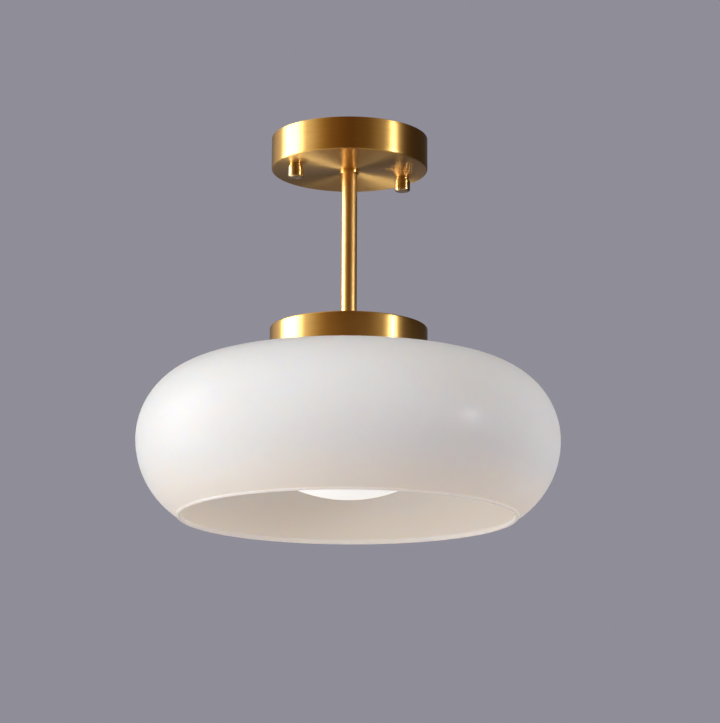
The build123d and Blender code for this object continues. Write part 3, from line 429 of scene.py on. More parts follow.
@dataclass(frozen=True)
class OpalGlass(Finish):
    """Blown glass with a milky layer under a clear skin.

    The spans are heights in metres: painted light that turns the glass warmer low down, a painted
    glow of the lamp's light above the mouth, and the lip.
    """

    body: Colour = (0.880, 0.860, 0.838)
    # The warmer colour stands for the glass's own swirls and for painted lamp light low on the
    # glass and on its inside faces.
    warm_swirl_and_painted_light: Colour = (0.868, 0.805, 0.735)
    # Painted glow: emission colours that make the glass shine with the lamp's light outside,
    # inside, deep inside and at the lip, though the glass is no lamp.
    glow: Colour = (0.118, 0.066, 0.001)
    glow_inside: Colour = (0.125, 0.108, 0.094)
    glow_deep: Colour = (0.070, 0.060, 0.050)
    lip_glow: Colour = (0.100, 0.056, 0.010)
    roughness: float = 0.42
    painted_warm_light_span: Point = (-0.296, -0.225)
    glow_span: Point = (-0.297, -0.258)
    lip_span: Point = (-0.2958, -0.2940)
    swirl_scale: float = 9.0
    swirl_form: Triple = (1.0, 1.0, 2.4)
    seed_scale: float = 900.0
    seed_level: float = 0.74
    ripple_scale: float = 14.0
    ripple_form: Triple = (1.0, 1.0, 3.0)
    ripple_relief: float = 0.0009
    milk_depth: Triple = (0.020, 0.015, 0.011)

    def shade(self, graph: Graph) -> Socket:
        """Builds the milky body, its faint swirls, painted warmer lamp light low down and inside,
        a painted glow and the fire-polished skin.

        Args:
            graph: the material's graph.

        Returns:
            The shader.
        """
        where = graph.place()
        x, y, height = graph.parts(where)
        swirled, rippled = (
            graph.stretch(where, form) for form in (self.swirl_form, self.ripple_form)
        )
        swirl = graph.noise(swirled, self.swirl_scale, detail=3.0)
        seed = graph.noise(where, self.seed_scale, detail=1.0).above(self.seed_level)
        ripple = graph.noise(rippled, self.ripple_scale, detail=1.0)
        spans = (self.painted_warm_light_span, self.glow_span, self.lip_span)
        painted_warm_light_low, near, lip = (height.ramp(*span, 1.0, 0.0) for span in spans)
        facing_x, facing_y, _ = graph.facing()
        outer = (facing_x * x + facing_y * y).above(0.0)
        # Painted light: the base colour turns warmer low on the glass and on its inside faces,
        # where the lamp's light would fall; the swirl share is the glass's own tone.
        swirl_and_painted_warmth = swirl.ramp(0.35, 0.7) * 0.3 + painted_warm_light_low * 0.55 + outer.ramp(0.0, 1.0, 0.2, 0.0)
        # Painted glow: emission stands for the lamp's light passing through the glass and lighting
        # its inside, strongest near the mouth.
        inside = graph.mix(near, self.glow_deep, self.glow_inside)
        outside = graph.mix(near, BLACK, self.glow)
        rough = self.roughness + swirl.swing(0.06) + seed * 0.05 - lip * 0.2
        return graph.node(
            "ShaderNodeBsdfPrincipled",
            inputs={
                "Base Color": graph.mix(swirl_and_painted_warmth, self.body, self.warm_swirl_and_painted_light),
                "Roughness": rough,
                "IOR": 1.5,
                "Specular IOR Level": 0.04,
                "Coat Weight": 0.09 - lip * 0.04,
                "Coat Roughness": 0.24,
                "Subsurface Weight": 0.95,
                "Subsurface Radius": self.milk_depth,
                "Subsurface Scale": 0.4,
                # Painted glow at the lip, over the painted glow inside and outside.
                "Emission Color": graph.mix(lip, graph.mix(outer, inside, outside), self.lip_glow),
                "Emission Strength": 1.0,
                "Normal": graph.bump(ripple, strength=0.25, distance=self.ripple_relief),
            },
        )


@dataclass(frozen=True)
class MouldedPlastic(Finish):
    """Moulded plastic, rubber, foam or ceramic with a fine skin texture."""

    colour: Colour = (0.8, 0.8, 0.78)
    shade_to: Colour = (0.7, 0.7, 0.68)
    roughness: float = 0.45
    grain_size: float = 0.0004
    relief: float = 0.00004
    drift_scale: float = 60.0

    def shade(self, graph: Graph) -> Socket:
        """Builds a fine skin, slow colour drift and dust in the roughness.

        Args:
            graph: the material's graph.

        Returns:
            The shader.
        """
        where = graph.place()
        skin = graph.noise(where, 1.0 / self.grain_size, detail=2.0)
        drift = graph.noise(where, self.drift_scale, detail=3.0)
        tone = drift.ramp(0.3, 0.7) * 0.6 + skin * 0.25
        return graph.node(
            "ShaderNodeBsdfPrincipled",
            inputs={
                "Base Color": graph.mix(tone, self.colour, self.shade_to),
                "Roughness": self.roughness + skin.swing(0.12) + drift.swing(0.10),
                "Normal": graph.bump(skin, strength=0.3, distance=self.relief),
            },
        )


@dataclass(frozen=True)
class PlatedMetal(Finish):
    """Plated, tinned or plain turned metal of the hidden hardware."""

    colour: Colour = (0.62, 0.63, 0.64)
    stain: Colour = (0.50, 0.51, 0.50)
    roughness: float = 0.32
    spangle_scale: float = 700.0
    stain_scale: float = 90.0
    mark_scale: float = 420.0
    mark_form: Triple = (1.0, 1.0, 9.0)
    relief: float = 0.00005

    def shade(self, graph: Graph) -> Socket:
        """Builds spangle, handling stains and tool marks.

        Args:
            graph: the material's graph.

        Returns:
            The shader.
        """
        where = graph.place()
        spangle = graph.node(
            "ShaderNodeTexVoronoi",
            inputs={"Vector": where, "Scale": self.spangle_scale},
            output="Color",
        )
        flake = graph.node("ShaderNodeRGBToBW", inputs={0: spangle})
        stain = graph.noise(where, self.stain_scale, detail=4.0)
        drawn = graph.stretch(where, self.mark_form)
        mark = graph.noise(drawn, self.mark_scale, detail=2.0)
        tone = stain.ramp(0.4, 0.75) * 0.7 + flake * 0.2
        return graph.node(
            "ShaderNodeBsdfPrincipled",
            inputs={
                "Base Color": graph.mix(tone, self.colour, self.stain),
                "Metallic": 1.0,
                "Roughness": self.roughness + stain.swing(0.16) + flake.swing(0.08),
                "Normal": graph.bump(mark, strength=0.2, distance=self.relief),
            },
        )


@dataclass(frozen=True)
class StripedSheath(Finish):
    """A two-colour wire sheath."""

    first: Colour = (0.05, 0.30, 0.06)
    second: Colour = (0.80, 0.66, 0.05)
    stripe_scale: float = 1400.0
    skin_scale: float = 1500.0
    roughness: float = 0.38
    relief: float = 0.00003

    def shade(self, graph: Graph) -> Socket:
        """Builds slanted stripes on a slightly waxy skin.

        Args:
            graph: the material's graph.

        Returns:
            The shader.
        """
        where = graph.place()
        x, y, z = graph.parts(where)
        stripe = ((x * 0.8 + y + z * 0.6) * self.stripe_scale).sine().ramp(-0.15, 0.15)
        skin = graph.noise(where, self.skin_scale, detail=2.0)
        return graph.node(
            "ShaderNodeBsdfPrincipled",
            inputs={
                "Base Color": graph.mix(stripe, self.first, self.second),
                "Roughness": self.roughness + skin.swing(0.12),
                "Normal": graph.bump(skin, strength=0.2, distance=self.relief),
            },
        )


@dataclass(frozen=True)
class LitDiffuser(Finish):
    """The lamp's milky dome with the light on."""

    core: Colour = (0.570, 0.545, 0.480)
    edge: Colour = (0.560, 0.490, 0.390)
    shell: Colour = (0.72, 0.71, 0.69)
    shell_edge: Colour = (0.68, 0.66, 0.62)
    reach: float = 0.058
    chip_scale: float = 62.0
    chip_blur: float = 0.6
    skin_scale: float = 1800.0
    roughness: float = 0.42

    def shade(self, graph: Graph) -> Socket:
        """Builds a glow that falls off to the edge, over faint spots of the chips behind.

        Args:
            graph: the material's graph.

        Returns:
            The shader.
        """
        where = graph.place()
        x, y, _ = graph.parts(where)
        spots = graph.node(
            "ShaderNodeTexVoronoi",
            {"feature": "SMOOTH_F1"},
            {
                "Vector": graph.stretch(where, (1.0, 1.0, 0.0)),
                "Scale": self.chip_scale,
                "Smoothness": self.chip_blur,
            },
        )
        outward = (graph.from_axis(x, y) / self.reach).ramp(0.62, 1.02)
        fall = outward * 0.88 + spots.ramp(0.2, 0.8) * 0.12
        skin = graph.noise(where, self.skin_scale, detail=1.0)
        return graph.node(
            "ShaderNodeBsdfPrincipled",
            inputs={
                "Base Color": graph.mix(fall, self.shell, self.shell_edge),
                "Roughness": self.roughness + skin.swing(0.1),
                "Emission Color": graph.mix(fall, self.core, self.edge),
                "Emission Strength": 1.0,
            },
        )


@dataclass(frozen=True)
class StageFloor(Finish):
    """The pale, matt studio floor far below the light."""

    colour: Colour = (0.640, 0.639, 0.751)
    bounce: Colour = (0.480, 0.495, 0.635)
    uneven: float = 1.06
    cloud_scale: float = 1.2
    roughness: float = 0.9

    def shade(self, graph: Graph) -> Socket:
        """Builds a slightly uneven paper surface, which throws back a little less than it shows.

        Args:
            graph: the material's graph.

        Returns:
            The shader.
        """
        cloud = graph.noise(graph.place(), self.cloud_scale, detail=3.0)
        thrown, shown = (
            graph.mix(cloud, paper, tuple(value * self.uneven for value in paper))
            for paper in (self.bounce, self.colour)
        )
        paper = graph.mix(graph.ray("Camera"), thrown, shown)
        return graph.node(
            "ShaderNodeBsdfPrincipled",
            inputs={"Base Color": paper, "Roughness": self.roughness},
        )


class Slot(Enum):
    """The record's material slots that the scene's pieces and solids take their finish from."""

    ZINC_STEEL = "zinc_steel"
    SATIN_BRASS = "satin_brass"
    PLAIN_BRASS = "plain_brass"
    TINNED_COPPER = "tinned_copper"
    FOAM_PAD = "foam_pad"
    TERMINAL_PLASTIC = "terminal_plastic"
    BROWN_WIRE = "brown_wire"
    BLUE_WIRE = "blue_wire"
    GREEN_YELLOW_WIRE = "green_yellow_wire"
    SILICONE = "silicone"
    HOLDER_PLASTIC = "holder_plastic"
    CERAMIC = "ceramic"
    OPAL_GLASS = "opal_glass"
    LAMP_NICKEL = "lamp_nickel"
    BLACK_GLASS = "black_glass"
    LAMP_PLASTIC = "lamp_plastic"
    LED_BOARD = "led_board"
    DRIVER_BOARD = "driver_board"
    LAMP_DIFFUSER = "lamp_diffuser"


FINISHES: dict[Slot, Finish] = {
    Slot.ZINC_STEEL: PlatedMetal("zinc_steel_plate"),
    Slot.SATIN_BRASS: BrushedBrass("satin_brass_turned"),
    Slot.PLAIN_BRASS: PlatedMetal(
        "plain_brass_turned", (0.72, 0.46, 0.15), (0.50, 0.30, 0.10), roughness=0.28
    ),
    Slot.TINNED_COPPER: PlatedMetal(
        "tinned_copper_strip", (0.72, 0.70, 0.66), (0.60, 0.52, 0.42), roughness=0.30
    ),
    Slot.FOAM_PAD: MouldedPlastic(
        "foam_tape", (0.10, 0.10, 0.10), (0.06, 0.06, 0.06), roughness=0.85,
        grain_size=0.0006, relief=0.0002,
    ),
    Slot.TERMINAL_PLASTIC: MouldedPlastic(
        "terminal_nylon", (0.84, 0.82, 0.76), (0.74, 0.71, 0.64), roughness=0.45
    ),
    Slot.BROWN_WIRE: MouldedPlastic(
        "brown_sheath", (0.13, 0.05, 0.02), (0.09, 0.035, 0.015), roughness=0.38
    ),
    Slot.BLUE_WIRE: MouldedPlastic(
        "blue_sheath", (0.03, 0.13, 0.42), (0.02, 0.09, 0.32), roughness=0.38
    ),
    Slot.GREEN_YELLOW_WIRE: StripedSheath("earth_sheath"),
    Slot.SILICONE: MouldedPlastic(
        "clear_silicone", (0.72, 0.70, 0.66), (0.62, 0.60, 0.56), roughness=0.40
    ),
    Slot.HOLDER_PLASTIC: MouldedPlastic(
        "holder_plastic_white", (0.80, 0.79, 0.76), (0.72, 0.71, 0.68), roughness=0.40
    ),
    Slot.CERAMIC: MouldedPlastic(
        "holder_ceramic", (0.82, 0.80, 0.76), (0.74, 0.72, 0.68), roughness=0.35
    ),
    Slot.OPAL_GLASS: OpalGlass("opal_glass_blown"),
    Slot.LAMP_NICKEL: PlatedMetal(
        "lamp_cap_nickel", (0.66, 0.64, 0.60), (0.55, 0.52, 0.47), roughness=0.24
    ),
    Slot.BLACK_GLASS: MouldedPlastic(
        "lamp_black_glass", (0.012, 0.012, 0.014), (0.02, 0.02, 0.022), roughness=0.12
    ),
    Slot.LAMP_PLASTIC: MouldedPlastic(
        "lamp_housing_plastic", (0.82, 0.82, 0.80), (0.76, 0.76, 0.73), roughness=0.42
    ),
    Slot.LED_BOARD: MouldedPlastic(
        "lamp_board_white", (0.85, 0.84, 0.80), (0.78, 0.76, 0.68), roughness=0.50
    ),
    Slot.DRIVER_BOARD: MouldedPlastic(
        "driver_green", (0.03, 0.16, 0.07), (0.02, 0.11, 0.05), roughness=0.35
    ),
    Slot.LAMP_DIFFUSER: LitDiffuser("lamp_dome_lit"),
}


# ---------------------------------------------------------------- geometry trees


class GeometryTree(Graph):
    """A Geometry Nodes tree with named inputs, used once per object and then made a plain mesh."""

    def __init__(self, name: str) -> None:
        """Makes an empty tree with a geometry input and output.

        Args:
            name: the tree's name.
        """
        super().__init__(bpy.data.node_groups.new(name, "GeometryNodeTree"))
        self.identifiers: dict[str, str] = {}
        for way in ("INPUT", "OUTPUT"):
            self.tree.interface.new_socket(
                "Geometry", in_out=way, socket_type="NodeSocketGeometry"
            )
        self.entry = self.tree.nodes.new("NodeGroupInput")

    def ask(self, name: str, kind: str) -> Socket:
        """Adds a named input.

        Args:
            name: what the input is called.
            kind: Float, Int or Material.

        Returns:
            The input inside the tree.
        """
        made = self.tree.interface.new_socket(
            name, in_out="INPUT", socket_type=f"NodeSocket{kind}"
        )
        self.identifiers[name] = made.identifier
        return Socket(self, self.entry.outputs[name])

    def close(self, geometry: Socket, material: Socket) -> None:
        """Ends the tree in Realize Instances and Set Material.

        Args:
            geometry: the finished geometry.
            material: the material.
        """
        real = self.node("GeometryNodeRealizeInstances", inputs={0: geometry})
        dressed = self.node(
            "GeometryNodeSetMaterial", inputs={"Geometry": real, "Material": material}
        )
        self.node("NodeGroupOutput", inputs={0: dressed})

    def run(self, base: bpy.types.Mesh, values: Mapping[str, Any]) -> bpy.types.Mesh:
        """Evaluates the tree on a mesh.

        Args:
            base: the mesh that goes in.
            values: the named inputs.

        Returns:
            A plain mesh.
        """
        carrier = bpy.data.objects.new("carrier", base)
        bpy.context.scene.collection.objects.link(carrier)
        modifier = carrier.modifiers.new("tree", "NODES")
        modifier.node_group = self.tree
        for name, value in values.items():
            modifier[self.identifiers[name]] = value
        mesh = plain_mesh(carrier)
        bpy.data.objects.remove(carrier)
        return mesh


class LatheTree(GeometryTree):
    """Turns a profile round the vertical axis."""

    merge_within: ClassVar[float] = 2e-6

    def __init__(self) -> None:
        """Builds the tree: the profile is swept along a circle and its poles are closed."""
        super().__init__("turned_profile")
        segments = self.ask("Segments", "Int")
        guide = self.ask("Guide radius", "Float")
        material = self.ask("Material", "Material")
        profile = Socket(self, self.entry.outputs["Geometry"])
        curve = self.node("GeometryNodeMeshToCurve", inputs={"Mesh": profile})
        moved = self.node(
            "GeometryNodeTransform",
            inputs={"Geometry": curve, "Translation": self.vector(guide * -1.0, 0.0, 0.0)},
        )
        circle = self.node(
            "GeometryNodeCurvePrimitiveCircle", inputs={"Resolution": segments, "Radius": guide}
        )
        swept = self.node(
            "GeometryNodeCurveToMesh", inputs={"Curve": circle, "Profile Curve": moved}
        )
        joined = self.node(
            "GeometryNodeMergeByDistance",
            inputs={"Geometry": swept, "Distance": self.merge_within},
        )
        self.close(joined, material)


class ThreadTree(GeometryTree):
    """Winds a rounded ridge up a screw."""

    ridge_sides: ClassVar[int] = 8

    def __init__(self) -> None:
        """Builds the tree: a spiral swept with a small circle."""
        super().__init__("screw_ridge")
        turns, height, radius, ridge, axis_x, foot = (
            self.ask(name, "Float")
            for name in ("Turns", "Height", "Radius", "Ridge radius", "Axis x", "Foot z")
        )
        steps = self.ask("Steps per turn", "Int")
        material = self.ask("Material", "Material")
        spiral = self.node(
            "GeometryNodeCurveSpiral",
            inputs={
                "Resolution": steps, "Rotations": turns, "Height": height,
                "Start Radius": radius, "End Radius": radius,
            },
        )
        section = self.node(
            "GeometryNodeCurvePrimitiveCircle",
            inputs={"Resolution": self.ridge_sides, "Radius": ridge},
        )
        swept = self.node(
            "GeometryNodeCurveToMesh",
            inputs={"Curve": spiral, "Profile Curve": section, "Fill Caps": True},
        )
        moved = self.node(
            "GeometryNodeTransform",
            inputs={"Geometry": swept, "Translation": self.vector(axis_x, 0.0, foot)},
        )
        self.close(moved, material)


# ---------------------------------------------------------------- profiles and pieces


def arc(centre: Point, radius: float, start: float, end: float, steps: int) -> list[Point]:
    """Points along an arc.

    Args:
        centre: the arc's centre.
        radius: its radius.
        start: first angle in degrees.
        end: last angle in degrees.
        steps: number of spans.

    Returns:
        The points, both ends included.
    """
    x, z = centre
    turns = [math.radians(start + (end - start) * step / steps) for step in range(steps + 1)]
    return [(x + radius * math.cos(turn), z + radius * math.sin(turn)) for turn in turns]


def rounded(corners: Sequence[Triple], closed: bool, steps: int = 6) -> list[Point]:
    """A profile with its corners rounded.

    Args:
        corners: radius, height and corner radius of each corner.
        closed: whether the last corner joins the first.
        steps: spans in each rounded corner.

    Returns:
        The profile's points.
    """
    points: list[Point] = []
    count = len(corners)
    for index, (x, z, size) in enumerate(corners):
        at = Vector((x, z))
        if size <= 0.0 or (not closed and index in (0, count - 1)):
            points.append((x, z))
            continue
        before = (Vector(corners[index - 1][:2]) - at).normalized()
        after = (Vector(corners[(index + 1) % count][:2]) - at).normalized()
        half = before.angle(after) / 2.0
        centre = at + (before + after).normalized() * (size / math.sin(half))
        first = at + before * (size / math.tan(half)) - centre
        last = at + after * (size / math.tan(half)) - centre
        turn = first.angle_signed(last)
        for step in range(steps + 1):
            angle = -turn * step / steps
            spoke = Matrix.Rotation(angle, 2) @ first
            points.append((centre.x + spoke.x, centre.y + spoke.y))
    return points


def divided(points: Sequence[Point], closed: bool, longest: float) -> list[Point]:
    """A profile with its long straight runs divided.

    Args:
        points: the profile.
        closed: whether the last point joins the first.
        longest: the longest run to leave.

    Returns:
        The denser profile.
    """
    dense: list[Point] = []
    pairs = list(zip(points, [*points[1:], points[0]] if closed else points[1:]))
    for (x, z), (next_x, next_z) in pairs:
        run_x, run_z = next_x - x, next_z - z
        spans = max(1, math.ceil(math.hypot(run_x, run_z) / longest))
        dense += [(x + run_x * k / spans, z + run_z * k / spans) for k in range(spans)]
    return dense if closed else [*dense, points[-1]]


@dataclass(frozen=True)
class WoundThread:
    """A screw thread, wound as a rounded ridge from its foot up."""

    crest: float
    ridge: float
    turns: float
    height: float
    foot: float
    steps: int
    axis_x: float = 0.0


@dataclass
class Workshop:
    """Makes pieces from profiles and threads, and attaches them to their bodies.

    guide_radius is the circle that a profile is swept along. The profile is moved in by as much,
    so the shape doesn't depend on it.
    """

    lathe: LatheTree = field(default_factory=LatheTree)
    winder: ThreadTree = field(default_factory=ThreadTree)
    guide_radius: float = 0.08

    def turn(
        self,
        points: Sequence[Point],
        closed: bool,
        material: bpy.types.Material,
        segments: int,
        axis_x: float = 0.0,
    ) -> bpy.types.Mesh:
        """Turns a profile.

        Args:
            points: radius and height of the profile's points.
            closed: whether the profile is a loop.
            material: the finish.
            segments: flats round the axis.
            axis_x: where the axis stands.

        Returns:
            The mesh.
        """
        profile = bpy.data.meshes.new("profile")
        edges = [(k, k + 1) for k in range(len(points) - 1)]
        if closed:
            edges.append((len(points) - 1, 0))
        profile.from_pydata([(radius, -height, 0.0) for radius, height in points], edges, [])
        values = {"Segments": segments, "Guide radius": self.guide_radius, "Material": material}
        mesh = self.lathe.run(profile, values)
        mesh.transform(Matrix.Translation((axis_x, 0.0, 0.0)))
        return mesh

    def wind(self, thread: WoundThread, material: bpy.types.Material) -> bpy.types.Mesh:
        """Winds a screw thread.

        Args:
            thread: its sizes.
            material: the finish.

        Returns:
            The mesh.
        """
        values = {
            "Turns": thread.turns, "Height": thread.height, "Radius": thread.crest - thread.ridge,
            "Ridge radius": thread.ridge, "Steps per turn": thread.steps,
            "Axis x": thread.axis_x, "Foot z": thread.foot, "Material": material,
        }
        return self.winder.run(bpy.data.meshes.new("nothing"), values)

    def piece(
        self,
        name: str,
        meshes: Sequence[bpy.types.Mesh],
        body: str,
        node: str,
        material: bpy.types.Material,
        sharp: float = 38.0,
    ) -> None:
        """Joins meshes into one piece that stands for a CAD node.

        Args:
            name: the piece's name.
            meshes: its meshes.
            body: the body it rides on.
            node: the node that it replaces.
            material: the finish.
            sharp: angle in degrees past which an edge stays sharp.
        """
        joined = bmesh.new()
        for mesh in meshes:
            joined.from_mesh(mesh)
        bmesh.ops.recalc_face_normals(joined, faces=joined.faces)
        data = bpy.data.meshes.new(name)
        joined.to_mesh(data)
        joined.free()
        data.materials.clear()
        data.materials.append(material)
        data.polygons.foreach_set("material_index", [0] * len(data.polygons))
        data.shade_smooth()
        data.set_sharp_from_angle(angle=math.radians(sharp))
        made = bpy.data.objects.new(name, data)
        bpy.context.scene.collection.objects.link(made)
        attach(made, body)
        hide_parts(node)
        log.info("%s: %d faces on %s, for %s", name, len(data.polygons), body, node)


def dress(slot: Slot, *nodes: str) -> None:
    """Gives CAD nodes the finish of a slot.

    Args:
        slot: the record's slot.
        nodes: the nodes.
    """
    material = FINISHES[slot].material()
    for name in nodes:
        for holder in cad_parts[name].material_slots:
            holder.material = material
        log.info("%s: dressed in %s", name, material.name)


# ---------------------------------------------------------------- sub-assemblies


@dataclass
class CeilingBracket:
    """The strap on the ceiling with the two studs that carry the canopy."""

    stud_x: float = 45.0 * MM
    stud_top: float = -4.0 * MM
    stud_tip: float = -34.0 * MM
    stud_core: float = 1.74 * MM
    stud_radius: float = 2.0 * MM
    stud_pitch: float = 0.7 * MM
    stud_edge: float = 0.3 * MM
    stud_segments: int = 32
    ridge: float = 0.26 * MM
    ridge_steps: int = 20
    head_radius: float = 3.5 * MM
    head_top: float = -1.4 * MM
    head_edge: float = 0.25 * MM
    head_round: float = 1.1 * MM
    head_segments: int = 40
    slot_width: float = 1.0 * MM
    slot_depth: float = 1.2 * MM

    def build(self, shop: Workshop) -> None:
        """Builds the threaded studs and dresses the strap and small hardware.

        Args:
            shop: the maker of pieces.
        """
        zinc = Slot.ZINC_STEEL
        material = FINISHES[zinc].material()
        meshes = []
        for side in (-1.0, 1.0):
            meshes += self._stud(shop, side * self.stud_x, material)
        shop.piece("bracket_stud_pair", meshes, "ceiling_bracket", "bracket_studs", material)
        dress(zinc, "mounting_bracket", "stud_locknuts", "earth_screw")

    def _stud(
        self, shop: Workshop, axis_x: float, material: bpy.types.Material
    ) -> list[bpy.types.Mesh]:
        """One stud: a slotted round head, a core and a wound thread.

        Args:
            shop: the maker of pieces.
            axis_x: where the stud stands.
            material: the finish.

        Returns:
            The stud's meshes.
        """
        core_top = self.stud_top + self.stud_edge
        core = [
            (0.0, self.stud_tip), (self.stud_core - self.stud_edge, self.stud_tip),
            (self.stud_core, self.stud_tip + self.stud_edge), (self.stud_core, core_top),
            (0.0, core_top),
        ]
        head = [
            (0.0, self.stud_top, 0.0), (self.head_radius, self.stud_top, self.head_edge),
            (self.head_radius, self.head_top, self.head_round), (0.0, self.head_top, 0.0),
        ]
        height = self.stud_top - self.stud_tip - 2.0 * self.ridge
        thread = WoundThread(
            crest=self.stud_radius, ridge=self.ridge, turns=height / self.stud_pitch,
            height=height, foot=self.stud_tip + self.ridge, steps=self.ridge_steps, axis_x=axis_x,
        )
        plain_head = shop.turn(
            rounded(head, closed=False), False, material, self.head_segments, axis_x
        )
        return [
            shop.turn(core, False, material, self.stud_segments, axis_x),
            self._cut_slot(plain_head, axis_x),
            shop.wind(thread, material),
        ]

    def _cut_slot(self, head: bpy.types.Mesh, axis_x: float) -> bpy.types.Mesh:
        """Cuts the driver slot into a stud head.

        Args:
            head: the head's mesh.
            axis_x: where the stud stands.

        Returns:
            The slotted head.
        """
        cutter = bmesh.new()
        bmesh.ops.create_cube(cutter, size=1.0)
        size = (3.0 * self.head_radius, self.slot_width, 2.0 * self.slot_depth, 1.0)
        place = Matrix.Translation((axis_x, 0.0, self.head_top))
        cutter.transform(place @ Matrix.Diagonal(size))
        cutter_mesh = bpy.data.meshes.new("slot_cutter")
        cutter.to_mesh(cutter_mesh)
        cutter.free()
        made = [bpy.data.objects.new(mesh.name, mesh) for mesh in (head, cutter_mesh)]
        for item in made:
            bpy.context.scene.collection.objects.link(item)
        cut = made[0].modifiers.new("slot", "BOOLEAN")
        cut.operation, cut.solver, cut.object = "DIFFERENCE", "EXACT", made[1]
        mesh = plain_mesh(made[0])
        for item in made:
            bpy.data.objects.remove(item)
        return mesh


@dataclass(frozen=True)
class SpunCup:
    """A cup spun from brass sheet, with a wide mouth and a hole in the middle of its floor."""

    mouth: float
    floor: float
    radius: float = 60.0 * MM
    sheet: float = 1.0 * MM
    hole: float = 5.05 * MM
    floor_edge: float = 1.2 * MM
    inner_edge: float = 0.4 * MM
    mouth_edge: float = 0.3 * MM
    hole_edge: float = 0.15 * MM
    longest_run: float = 2.5 * MM
    segments: int = 256

    def build(self, shop: Workshop, name: str, node: str) -> None:
        """Builds the cup.

        Args:
            shop: the maker of pieces.
            name: the piece's name.
            node: the CAD node that it stands for.
        """
        material = FINISHES[Slot.SATIN_BRASS].material()
        bore = self.radius - self.sheet
        inner_floor = self.floor + math.copysign(self.sheet, self.mouth - self.floor)
        corners = [
            (self.radius, self.mouth, self.mouth_edge), (self.radius, self.floor, self.floor_edge),
            (self.hole, self.floor, self.hole_edge), (self.hole, inner_floor, self.hole_edge),
            (bore, inner_floor, self.inner_edge), (bore, self.mouth, self.mouth_edge),
        ]
        profile = divided(rounded(corners, closed=True), True, self.longest_run)
        cup = shop.turn(profile, True, material, self.segments)
        shop.piece(name, [cup], "fixture", node, material)


@dataclass
class Canopy:
    """The brass cup on the ceiling, its two turned nuts and what is wired inside it."""

    cup: SpunCup = SpunCup(mouth=0.0, floor=-25.0 * MM)
    nut_x: float = 45.0 * MM
    nut_radius: float = 6.0 * MM
    nut_neck: float = 5.1 * MM
    nut_neck_height: float = 2.4 * MM
    nut_height: float = 11.0 * MM
    nut_edge: float = 1.5 * MM
    nut_shoulder_edge: float = 0.35 * MM
    nut_root_edge: float = 0.15 * MM
    nut_seat_edge: float = 0.2 * MM
    nut_bore: float = 2.05 * MM
    nut_bore_end: float = 9.6 * MM
    nut_bore_edge: float = 0.1 * MM
    nut_longest_run: float = 1.2 * MM
    nut_segments: int = 72

    def build(self, shop: Workshop) -> None:
        """Builds the cup and nuts and dresses the terminal block, wires and earth tag.

        Args:
            shop: the maker of pieces.
        """
        self.cup.build(shop, "canopy_cup", "canopy")
        self._nut(shop, "cap_nut_near", -self.nut_x, "nut_near")
        self._nut(shop, "cap_nut_far", self.nut_x, "nut_far")
        dress(Slot.FOAM_PAD, "terminal_pad")
        dress(Slot.TERMINAL_PLASTIC, "terminal_block")
        dress(Slot.PLAIN_BRASS, "terminal_inserts")
        dress(Slot.ZINC_STEEL, "terminal_screws")
        dress(Slot.TINNED_COPPER, "earth_tag")
        dress(Slot.BROWN_WIRE, "line_wire")
        dress(Slot.BLUE_WIRE, "neutral_wire")
        dress(Slot.GREEN_YELLOW_WIRE, "earth_wire")

    def _nut(self, shop: Workshop, node: str, axis_x: float, body: str) -> None:
        """Builds one turned nut under the canopy.

        Args:
            shop: the maker of pieces.
            node: the CAD node that it stands for.
            axis_x: where its stud stands.
            body: the body it rides on.
        """
        finish = BrushedBrass(
            f"{node}_brass", axis_x=axis_x, deep=(0.60, 0.40, 0.14), bright=(0.80, 0.58, 0.26),
            roughness=0.26, faced=0.2, lacquer=0.9,
        )
        top = self.cup.floor
        foot, bore_end = top - self.nut_height, top - self.nut_bore_end
        shoulder = top - self.nut_neck_height
        corners = [
            (0.0, bore_end, 0.0), (self.nut_bore, bore_end, self.nut_bore_edge),
            (self.nut_bore, top, self.nut_bore_edge), (self.nut_neck, top, self.nut_seat_edge),
            (self.nut_neck, shoulder, self.nut_root_edge),
            (self.nut_radius, shoulder, self.nut_shoulder_edge),
            (self.nut_radius, foot, self.nut_edge), (0.0, foot, 0.0),
        ]
        profile = divided(rounded(corners, closed=False), False, self.nut_longest_run)
        mesh = shop.turn(profile, False, finish.material(), self.nut_segments, axis_x)
        shop.piece(f"{node}_turned", [mesh], body, node, finish.material())


